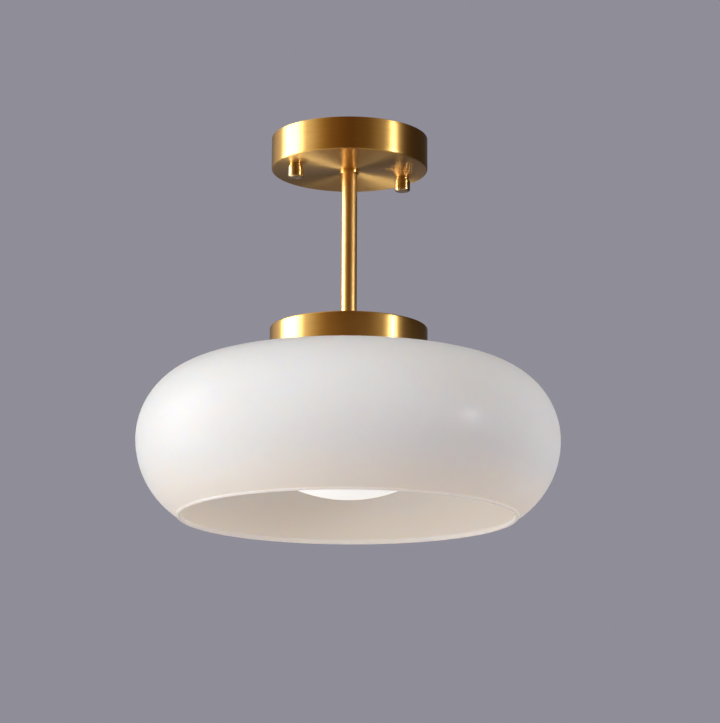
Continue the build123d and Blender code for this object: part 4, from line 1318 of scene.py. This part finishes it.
@dataclass
class Stem:
    """The rod between canopy and cap with its collars and the nipples, washers and nuts inside."""

    rod_radius: float = 6.0 * MM
    rod_bore: float = 5.05 * MM
    rod_top: float = -28.0 * MM
    rod_foot: float = -147.0 * MM
    rod_edge: float = 0.25 * MM
    rod_longest_run: float = 6.0 * MM
    collar_radius: float = 7.5 * MM
    collar_height: float = 3.0 * MM
    collar_edge: float = 0.8 * MM
    seat_edge: float = 0.15 * MM
    bore_edge: float = 0.1 * MM
    segments: int = 96

    def build(self, shop: Workshop) -> None:
        """Builds the rod and collars and dresses the hidden hardware.

        Args:
            shop: the maker of pieces.
        """
        brass = Slot.SATIN_BRASS
        drawn = BrushedBrass(
            "satin_brass_drawn", grain=Grain.ALONG, roughness=0.36, lacquer=0.9
        ).material()
        corners = [
            (self.rod_radius, self.rod_top, self.rod_edge),
            (self.rod_radius, self.rod_foot, self.rod_edge),
            (self.rod_bore, self.rod_foot, self.bore_edge),
            (self.rod_bore, self.rod_top, self.bore_edge),
        ]
        profile = divided(rounded(corners, closed=True, steps=4), True, self.rod_longest_run)
        tube = shop.turn(profile, True, drawn, self.segments)
        shop.piece("rod_tube", [tube], "fixture", "stem_rod", drawn)
        turned = FINISHES[brass].material()
        collars = [
            self._collar(shop, self.rod_top + self.collar_height, self.rod_top, turned),
            self._collar(shop, self.rod_foot - self.collar_height, self.rod_foot, turned),
        ]
        shop.piece("rod_collar_pair", collars, "fixture", "stem_collars", turned)
        dress(Slot.PLAIN_BRASS, "upper_nipple", "lower_nipple", "stem_hex_nuts")
        dress(Slot.ZINC_STEEL, "stem_lock_washers")

    def _collar(
        self, shop: Workshop, seat: float, rod_end: float, material: bpy.types.Material
    ) -> bpy.types.Mesh:
        """One collar, rounded on its rod side.

        Args:
            shop: the maker of pieces.
            seat: height of the face on the cup.
            rod_end: height of the face on the rod.
            material: the finish.

        Returns:
            The collar's mesh.
        """
        corners = [
            (self.collar_radius, seat, self.seat_edge),
            (self.collar_radius, rod_end, self.collar_edge),
            (self.rod_bore, rod_end, self.bore_edge), (self.rod_bore, seat, self.bore_edge),
        ]
        return shop.turn(rounded(corners, closed=True, steps=5), True, material, self.segments)


@dataclass
class ShadeCap:
    """The brass cup on top of the shade with its edging and the lampholder inside."""

    cup: SpunCup = SpunCup(mouth=-175.0 * MM, floor=-150.0 * MM)
    sleeve_radius: float = 19.8 * MM
    sleeve_core: float = 19.2 * MM
    sleeve_top: float = -178.0 * MM
    sleeve_foot: float = -213.0 * MM
    sleeve_bore: float = 17.35 * MM
    sleeve_mouth: float = 14.98 * MM
    sleeve_segments: int = 128
    lip_height: float = 3.0 * MM
    foot_edge: float = 0.6 * MM
    mouth_edge: float = 0.5 * MM
    step_edge: float = 0.3 * MM
    bore_edge: float = 0.2 * MM
    thread_top: float = -182.0 * MM
    thread_pitch: float = 2.5 * MM
    thread_turns: float = 9.4
    thread_drop: float = 0.4 * MM
    run_out: float = 0.8 * MM
    ridge: float = 0.75 * MM
    ridge_steps: int = 96

    def build(self, shop: Workshop) -> None:
        """Builds the cup and the threaded sleeve and dresses the rest of the lampholder.

        Args:
            shop: the maker of pieces.
        """
        self.cup.build(shop, "shade_cap_cup", "shade_cap")
        self._sleeve(shop)
        dress(Slot.SILICONE, "cap_gasket")
        dress(Slot.HOLDER_PLASTIC, "lampholder_dome")
        dress(Slot.CERAMIC, "lampholder_core")
        dress(Slot.PLAIN_BRASS, "lampholder_posts", "lampholder_shell")
        dress(Slot.TINNED_COPPER, "centre_contact")
        dress(Slot.ZINC_STEEL, "post_screws")

    def _sleeve(self, shop: Workshop) -> None:
        """Builds the lampholder's outer sleeve with its thread for the shade ring.

        Args:
            shop: the maker of pieces.
        """
        plastic = Slot.HOLDER_PLASTIC
        material = FINISHES[plastic].material()
        lip = self.sleeve_foot + self.lip_height
        height = self.thread_pitch * self.thread_turns
        thread_foot = self.thread_top - height
        corners = [
            (self.sleeve_radius, self.sleeve_top, self.bore_edge),
            (self.sleeve_radius, self.thread_top, self.step_edge),
            (self.sleeve_core, self.thread_top - self.run_out, self.step_edge),
            (self.sleeve_core, thread_foot - self.run_out, self.step_edge),
            (self.sleeve_radius, thread_foot - 2.0 * self.run_out, self.step_edge),
            (self.sleeve_radius, self.sleeve_foot, self.foot_edge),
            (self.sleeve_mouth, self.sleeve_foot, self.mouth_edge),
            (self.sleeve_mouth, lip, self.step_edge),
            (self.sleeve_bore, lip, self.bore_edge),
            (self.sleeve_bore, self.sleeve_top, self.bore_edge),
        ]
        profile = rounded(corners, closed=True, steps=4)
        barrel = shop.turn(profile, True, material, self.sleeve_segments)
        thread = WoundThread(
            crest=self.sleeve_radius, ridge=self.ridge, turns=self.thread_turns,
            height=height, foot=thread_foot - self.thread_drop, steps=self.ridge_steps,
        )
        shop.piece(
            "lampholder_threaded_sleeve", [barrel, shop.wind(thread, material)], "fixture",
            "lampholder_sleeve", material,
        )


@dataclass
class Shade:
    """The blown opal shade, its gasket and the ring that clamps it to the lampholder."""

    hole: float = 21.0 * MM
    hole_edge: float = 0.6 * MM
    top: float = -176.0 * MM
    wall: float = 3.0 * MM
    flat: float = 64.5 * MM
    flat_run: float = 3.0 * MM
    crown_radius: float = 227.0 * MM
    crown_turn: float = 13.09
    shoulder_radius: float = 57.0 * MM
    shoulder_x: float = 103.0 * MM
    lower_radius: float = 67.0 * MM
    lower_x: float = 93.0 * MM
    belly: float = -237.4 * MM
    mouth: float = 128.5 * MM
    lip_fillet: float = 0.5 * MM
    brow_fillet: float = 1.5 * MM
    crown_spans: int = 18
    shoulder_spans: int = 32
    lower_spans: int = 28
    fillet_spans: int = 6
    lip_spans: int = 14
    brow_spans: int = 8
    hole_spans: int = 4
    segments: int = 320
    sharp: float = 60.0

    def build(self, shop: Workshop) -> None:
        """Builds the glass and dresses the ring and its gasket.

        Args:
            shop: the maker of pieces.
        """
        opal = Slot.OPAL_GLASS
        material = FINISHES[opal].material()
        mesh = shop.turn(self._profile(), True, material, self.segments)
        shop.piece("opal_shade", [mesh], "shade", "glass_shade", material, self.sharp)
        dress(Slot.SILICONE, "ring_gasket")
        dress(Slot.HOLDER_PLASTIC, "shade_ring")

    def _profile(self) -> list[Point]:
        """The closed section of the glass: outside down to the lip, then back up the inside.

        Returns:
            Radius and height of the section's points.
        """
        crown = (self.flat, self.top - self.crown_radius)
        shoulder = (self.shoulder_x, self.belly)
        lower = (self.lower_x, self.belly)
        knee = 90.0 - self.crown_turn
        half = self.wall / 2.0
        inner_radius = self.lower_radius - self.wall
        inner_mouth = self.mouth - self.wall
        fillet, fillet_turn = self._touch(
            self.mouth + self.lip_fillet, self.lower_radius + self.lip_fillet
        )
        brow, brow_turn = self._touch(
            inner_mouth + self.brow_fillet, inner_radius + self.brow_fillet
        )
        start, under, spans = self.hole + self.hole_edge, self.top - self.wall, self.hole_spans
        outside = divided([(start, self.top), (self.flat, self.top)], False, self.flat_run)[:-1]
        outside += arc(crown, self.crown_radius, 90.0, knee, self.crown_spans)
        outside += arc(shoulder, self.shoulder_radius, knee, 0.0, self.shoulder_spans)[1:]
        outside += arc(lower, self.lower_radius, 0.0, -fillet_turn, self.lower_spans)[1:-1]
        lip = arc(fillet, self.lip_fillet, 180.0 - fillet_turn, 180.0, self.fillet_spans)
        lip += arc((self.mouth - half, fillet[1]), half, 0.0, -180.0, self.lip_spans)[1:]
        lip += arc(brow, self.brow_fillet, 180.0, 180.0 - brow_turn, self.brow_spans)
        inside = arc(lower, inner_radius, -brow_turn, 0.0, self.lower_spans)[1:]
        inside += arc(
            shoulder, self.shoulder_radius - self.wall, 0.0, knee, self.shoulder_spans
        )[1:]
        inside += arc(crown, self.crown_radius - self.wall, knee, 90.0, self.crown_spans)[1:]
        inside += divided([(self.flat, under), (start, under)], False, self.flat_run)[1:]
        edge = arc((start, under + self.hole_edge), self.hole_edge, -90.0, -180.0, spans)[1:]
        edge += arc((start, self.top - self.hole_edge), self.hole_edge, 180.0, 90.0, spans)[:-1]
        return [*outside, *lip, *inside, *edge]

    def _touch(self, x: float, reach: float) -> tuple[Point, float]:
        """Where a small arc touches a lower arc of the glass.

        Args:
            x: radius at which the small arc's centre stands.
            reach: distance between the two centres.

        Returns:
            The small arc's centre, and the lower arc's turn in degrees down to the touching point.
        """
        turn = math.acos((x - self.lower_x) / reach)
        return (x, self.belly - reach * math.sin(turn)), math.degrees(turn)


@dataclass
class FlatLamp:
    """The flat screw-in lamp with its lit dome."""

    radius: float = 58.0 * MM
    rim: float = -249.7 * MM
    rim_edge: float = 0.3 * MM
    edge_z: float = -255.4 * MM
    edge_radius: float = 14.0 * MM
    edge_spans: int = 12
    dome_radius: float = 106.4 * MM
    dome_z: float = -174.1 * MM
    dome_spans: int = 26
    dome_segments: int = 160
    wall: float = 1.6 * MM
    cap_root: float = 12.1 * MM
    cap_crest: float = 13.1 * MM
    cap_top: float = -194.2 * MM
    cap_top_edge: float = 0.8 * MM
    cap_foot: float = -214.2 * MM
    cap_foot_edge: float = 0.2 * MM
    cap_pitch: float = 3.629 * MM
    cap_turns: float = 4.2
    cap_thread_rise: float = 3.0 * MM
    cap_segments: int = 96
    ridge: float = 0.95 * MM
    ridge_steps: int = 72

    def build(self, shop: Workshop) -> None:
        """Builds the dome and the threaded cap and dresses the housing and boards.

        Args:
            shop: the maker of pieces.
        """
        self._dome(shop)
        self._cap(shop)
        dress(Slot.LAMP_NICKEL, "lamp_tip")
        dress(Slot.BLACK_GLASS, "lamp_insulator")
        dress(Slot.LAMP_PLASTIC, "lamp_housing")
        dress(Slot.LED_BOARD, "lamp_led_board")
        dress(Slot.DRIVER_BOARD, "lamp_driver")

    def _dome(self, shop: Workshop) -> None:
        """Builds the lit dome, a thin shell.

        Args:
            shop: the maker of pieces.
        """
        lit = Slot.LAMP_DIFFUSER
        material = FINISHES[lit].material()
        middle = (0.0, self.dome_z)
        edge = (self.radius - self.edge_radius, self.edge_z)
        meet = math.degrees(math.atan2(self.edge_z - self.dome_z, edge[0]))
        outside = arc(middle, self.dome_radius, -90.0, meet, self.dome_spans)
        outside[0] = (0.0, outside[0][1])
        outside += arc(edge, self.edge_radius, meet, 0.0, self.edge_spans)[1:]
        bore, below_rim = self.radius - self.wall, self.rim - self.rim_edge
        rim = [
            (self.radius, below_rim), (self.radius - self.rim_edge, self.rim),
            (bore + self.rim_edge, self.rim), (bore, below_rim),
        ]
        inside = arc(edge, self.edge_radius - self.wall, 0.0, meet, self.edge_spans)
        inside += arc(middle, self.dome_radius - self.wall, meet, -90.0, self.dome_spans)[1:]
        inside[-1] = (0.0, inside[-1][1])
        mesh = shop.turn([*outside, *rim, *inside], False, material, self.dome_segments)
        shop.piece("lamp_lit_dome", [mesh], "lamp_front", "lamp_diffuser", material)

    def _cap(self, shop: Workshop) -> None:
        """Builds the screw cap with its rolled thread.

        Args:
            shop: the maker of pieces.
        """
        nickel = Slot.LAMP_NICKEL
        material = FINISHES[nickel].material()
        corners = [
            (0.0, self.cap_foot, 0.0), (self.cap_root, self.cap_foot, self.cap_foot_edge),
            (self.cap_root, self.cap_top, self.cap_top_edge), (0.0, self.cap_top, 0.0),
        ]
        profile = rounded(corners, closed=False, steps=5)
        barrel = shop.turn(profile, False, material, self.cap_segments)
        thread = WoundThread(
            crest=self.cap_crest, ridge=self.ridge, turns=self.cap_turns,
            height=self.cap_pitch * self.cap_turns, foot=self.cap_foot + self.cap_thread_rise,
            steps=self.ridge_steps,
        )
        meshes = [barrel, shop.wind(thread, material)]
        shop.piece("lamp_rolled_cap", meshes, "lamp_base", "lamp_screw_cap", material)


# ---------------------------------------------------------------- studio


class LampUse(Enum):
    """What a lamp of the studio is for."""

    FILL = "lights surfaces, and doesn't show in gloss"
    SHINE = "shows in gloss alone"


@dataclass(frozen=True)
class Softbox:
    """A soft lamp placed round the light as seen from the camera."""

    name: str
    turn: float
    rise: float
    distance: float
    width: float
    height: float
    power: float
    use: LampUse


@dataclass
class Studio:
    """Camera, soft lamps, plain surroundings and the floor far below."""

    camera_turn: float = -24.5
    camera_back: float = 2.0826
    camera_right: float = 0.0087
    camera_z: float = -0.6362
    camera_pitch: float = 12.476
    camera_roll: float = 0.25
    lens: float = 139.97
    sensor: float = 36.0
    clip_end: float = 50.0
    target: Vector = field(default_factory=lambda: Vector((0.0, 0.0, -0.15)))
    backdrop: Colour = (0.2747, 0.2684, 0.3140)
    mirrored: tuple[tuple[float, Colour], ...] = (
        (-180.0, (0.145, 0.132, 0.142)),
        (-155.0, (0.180, 0.165, 0.165)),
        (-135.0, (0.520, 0.450, 0.370)),
        (-112.0, (0.800, 0.740, 0.670)),
        (-74.0, (0.960, 0.900, 0.820)),
        (-62.0, (0.800, 0.720, 0.560)),
        (-45.0, (0.370, 0.250, 0.100)),
        (-30.0, (0.195, 0.102, 0.026)),
        (0.0, (0.102, 0.046, 0.013)),
        (30.0, (0.142, 0.082, 0.034)),
        (52.0, (0.350, 0.285, 0.200)),
        (76.0, (0.360, 0.300, 0.220)),
        (88.0, (0.082, 0.052, 0.026)),
        (108.0, (0.043, 0.026, 0.014)),
        (145.0, (0.038, 0.032, 0.028)),
        (180.0, (0.145, 0.132, 0.142)),
    )
    ambient: Colour = (0.425, 0.422, 0.435)
    ambient_low: Colour = (0.100, 0.080, 0.060)
    ambient_span: Point = (-0.55, 0.70)
    floor_z: float = -2.7
    floor_half: float = 14.0
    softboxes: tuple[Softbox, ...] = (
        Softbox("softbox_left_core", -93.0, 4.0, 2.1, 1.20, 2.0, 37.0, LampUse.SHINE),
        Softbox("softbox_left_halo", -92.0, 4.0, 2.15, 1.65, 2.0, 20.0, LampUse.SHINE),
        Softbox("softbox_left_front", -51.0, 0.0, 2.6, 1.2, 2.0, 50.0, LampUse.FILL),
        Softbox("softbox_low", -158.0, -42.0, 1.9, 0.55, 0.55, 3.6, LampUse.SHINE),
        Softbox("softbox_back_left", -140.0, -38.0, 2.4, 1.6, 1.0, 11.0, LampUse.FILL),
        Softbox("softbox_back_right", 140.0, -38.0, 2.4, 1.6, 1.0, 9.0, LampUse.FILL),
        Softbox("softbox_right", 65.5, 0.0, 2.0, 0.16, 0.35, 9.0, LampUse.SHINE),
        Softbox("softbox_right_halo", 65.5, 0.0, 2.05, 0.40, 0.35, 5.0, LampUse.SHINE),
        Softbox("softbox_right_spot", 60.0, -3.0, 1.9, 0.5, 0.2, 1.6, LampUse.SHINE),
        Softbox("softbox_right_side", 82.0, 10.0, 2.2, 1.2, 1.4, 15.0, LampUse.FILL),
        Softbox("softbox_right_low", 95.0, -30.0, 2.2, 1.2, 1.2, 3.0, LampUse.FILL),
    )

    def directions(self) -> tuple[Vector, Vector]:
        """The camera's two level directions.

        Returns:
            Forward and right.
        """
        turn = math.radians(self.camera_turn)
        forward = Vector((-math.sin(turn), math.cos(turn), 0.0))
        return forward, Vector((forward.y, -forward.x, 0.0))

    def build(self) -> None:
        """Builds the studio."""
        self._camera()
        for box in self.softboxes:
            self._softbox(box)
        self._world()
        self._floor()
        bpy.context.scene.view_settings.view_transform = "Standard"

    def _camera(self) -> None:
        """Places the camera at the photograph's viewing angle."""
        level, right = self.directions()
        pitch, roll = math.radians(self.camera_pitch), math.radians(self.camera_roll)
        forward = level * math.cos(pitch) + Vector((0.0, 0.0, math.sin(pitch)))
        up = right.cross(forward)
        side = right * math.cos(roll) + up * math.sin(roll)
        data = bpy.data.cameras.new("camera")
        data.lens, data.sensor_width, data.sensor_fit = self.lens, self.sensor, "AUTO"
        data.clip_end = self.clip_end
        made = bpy.data.objects.new("camera", data)
        columns = Matrix((side, side.cross(-forward) * -1.0, -forward)).transposed()
        place = right * self.camera_right - level * self.camera_back
        place += Vector((0.0, 0.0, self.camera_z))
        made.matrix_world = Matrix.Translation(place) @ columns.to_4x4()
        bpy.context.scene.collection.objects.link(made)
        bpy.context.scene.camera = made
        log.info("camera at %s", [round(value, 4) for value in place])

    def _softbox(self, box: Softbox) -> None:
        """Places one soft lamp.

        Args:
            box: the lamp's place, size and power.
        """
        level, right = self.directions()
        turn, rise = math.radians(box.turn), math.radians(box.rise)
        flat = level * -math.cos(turn) + right * math.sin(turn)
        toward = flat * math.cos(rise) + Vector((0.0, 0.0, math.sin(rise)))
        data = bpy.data.lights.new(box.name, "AREA")
        data.shape, data.size, data.size_y = "RECTANGLE", box.width, box.height
        data.energy = box.power
        made = bpy.data.objects.new(box.name, data)
        made.rotation_euler = toward.to_track_quat("Z", "Y").to_euler()
        made.location = self.target + toward * box.distance
        made.visible_camera = False
        made.visible_diffuse = box.use is LampUse.FILL
        made.visible_glossy = box.use is LampUse.SHINE
        bpy.context.scene.collection.objects.link(made)
        log.info("%s: %.1f W, %s", box.name, box.power, box.use.value)

    def _world(self) -> None:
        """Makes the surroundings: a plain backdrop, a room for gloss, soft light for the rest."""
        world = bpy.data.worlds.new("surroundings")
        bpy.context.scene.world = world
        world.use_nodes = True
        graph = Graph(world.node_tree)
        level, right = self.directions()
        look = graph.node("ShaderNodeTexCoord", output="Generated")
        product = {"operation": "DOT_PRODUCT"}
        facing, aside = (
            graph.node("ShaderNodeVectorMath", product, {0: look, 1: tuple(way)}, output="Value")
            for way in (level, right)
        )
        height = graph.parts(look)[2]
        turn = aside.turned_from(0.0 - facing) / math.tau + 0.5
        stops = [(0.5 + degrees / 360.0, colour) for degrees, colour in self.mirrored]
        mirrored = graph.node("ShaderNodeValToRGB", {"stops": stops}, {0: turn})
        soft = graph.mix(height.ramp(*self.ambient_span), self.ambient_low, self.ambient)
        plain, shine, fill = (
            graph.node("ShaderNodeBackground", inputs={"Color": colour, "Strength": 1.0})
            for colour in ((*self.backdrop, 1.0), mirrored, soft)
        )
        seen = graph.ray("Camera") + graph.ray("Transmission")
        lit = graph.node("ShaderNodeMixShader", inputs={0: graph.ray("Glossy"), 1: fill, 2: shine})
        shown = graph.node("ShaderNodeMixShader", inputs={0: seen, 1: lit, 2: plain})
        graph.surface(shown, "ShaderNodeOutputWorld")

    def _floor(self) -> None:
        """Lays the floor, which isn't part of the light."""
        half = self.floor_half
        mesh = bpy.data.meshes.new("studio_floor")
        corners = [(-half, -half), (half, -half), (half, half), (-half, half)]
        mesh.from_pydata([(x, y, self.floor_z) for x, y in corners], [], [(0, 1, 2, 3)])
        mesh.materials.append(StageFloor("studio_floor_paper").material())
        made = bpy.data.objects.new("studio_floor", mesh)
        made.visible_glossy = False
        bpy.context.scene.collection.objects.link(made)


def main() -> None:
    """Builds the studio and the light from the ceiling down."""
    logging.basicConfig(level=logging.INFO, format="%(name)s: %(message)s")
    Studio().build()
    shop = Workshop()
    for assembly in (CeilingBracket(), Canopy(), Stem(), ShadeCap(), Shade(), FlatLamp()):
        assembly.build(shop)


if __name__ == "__main__":
    main()
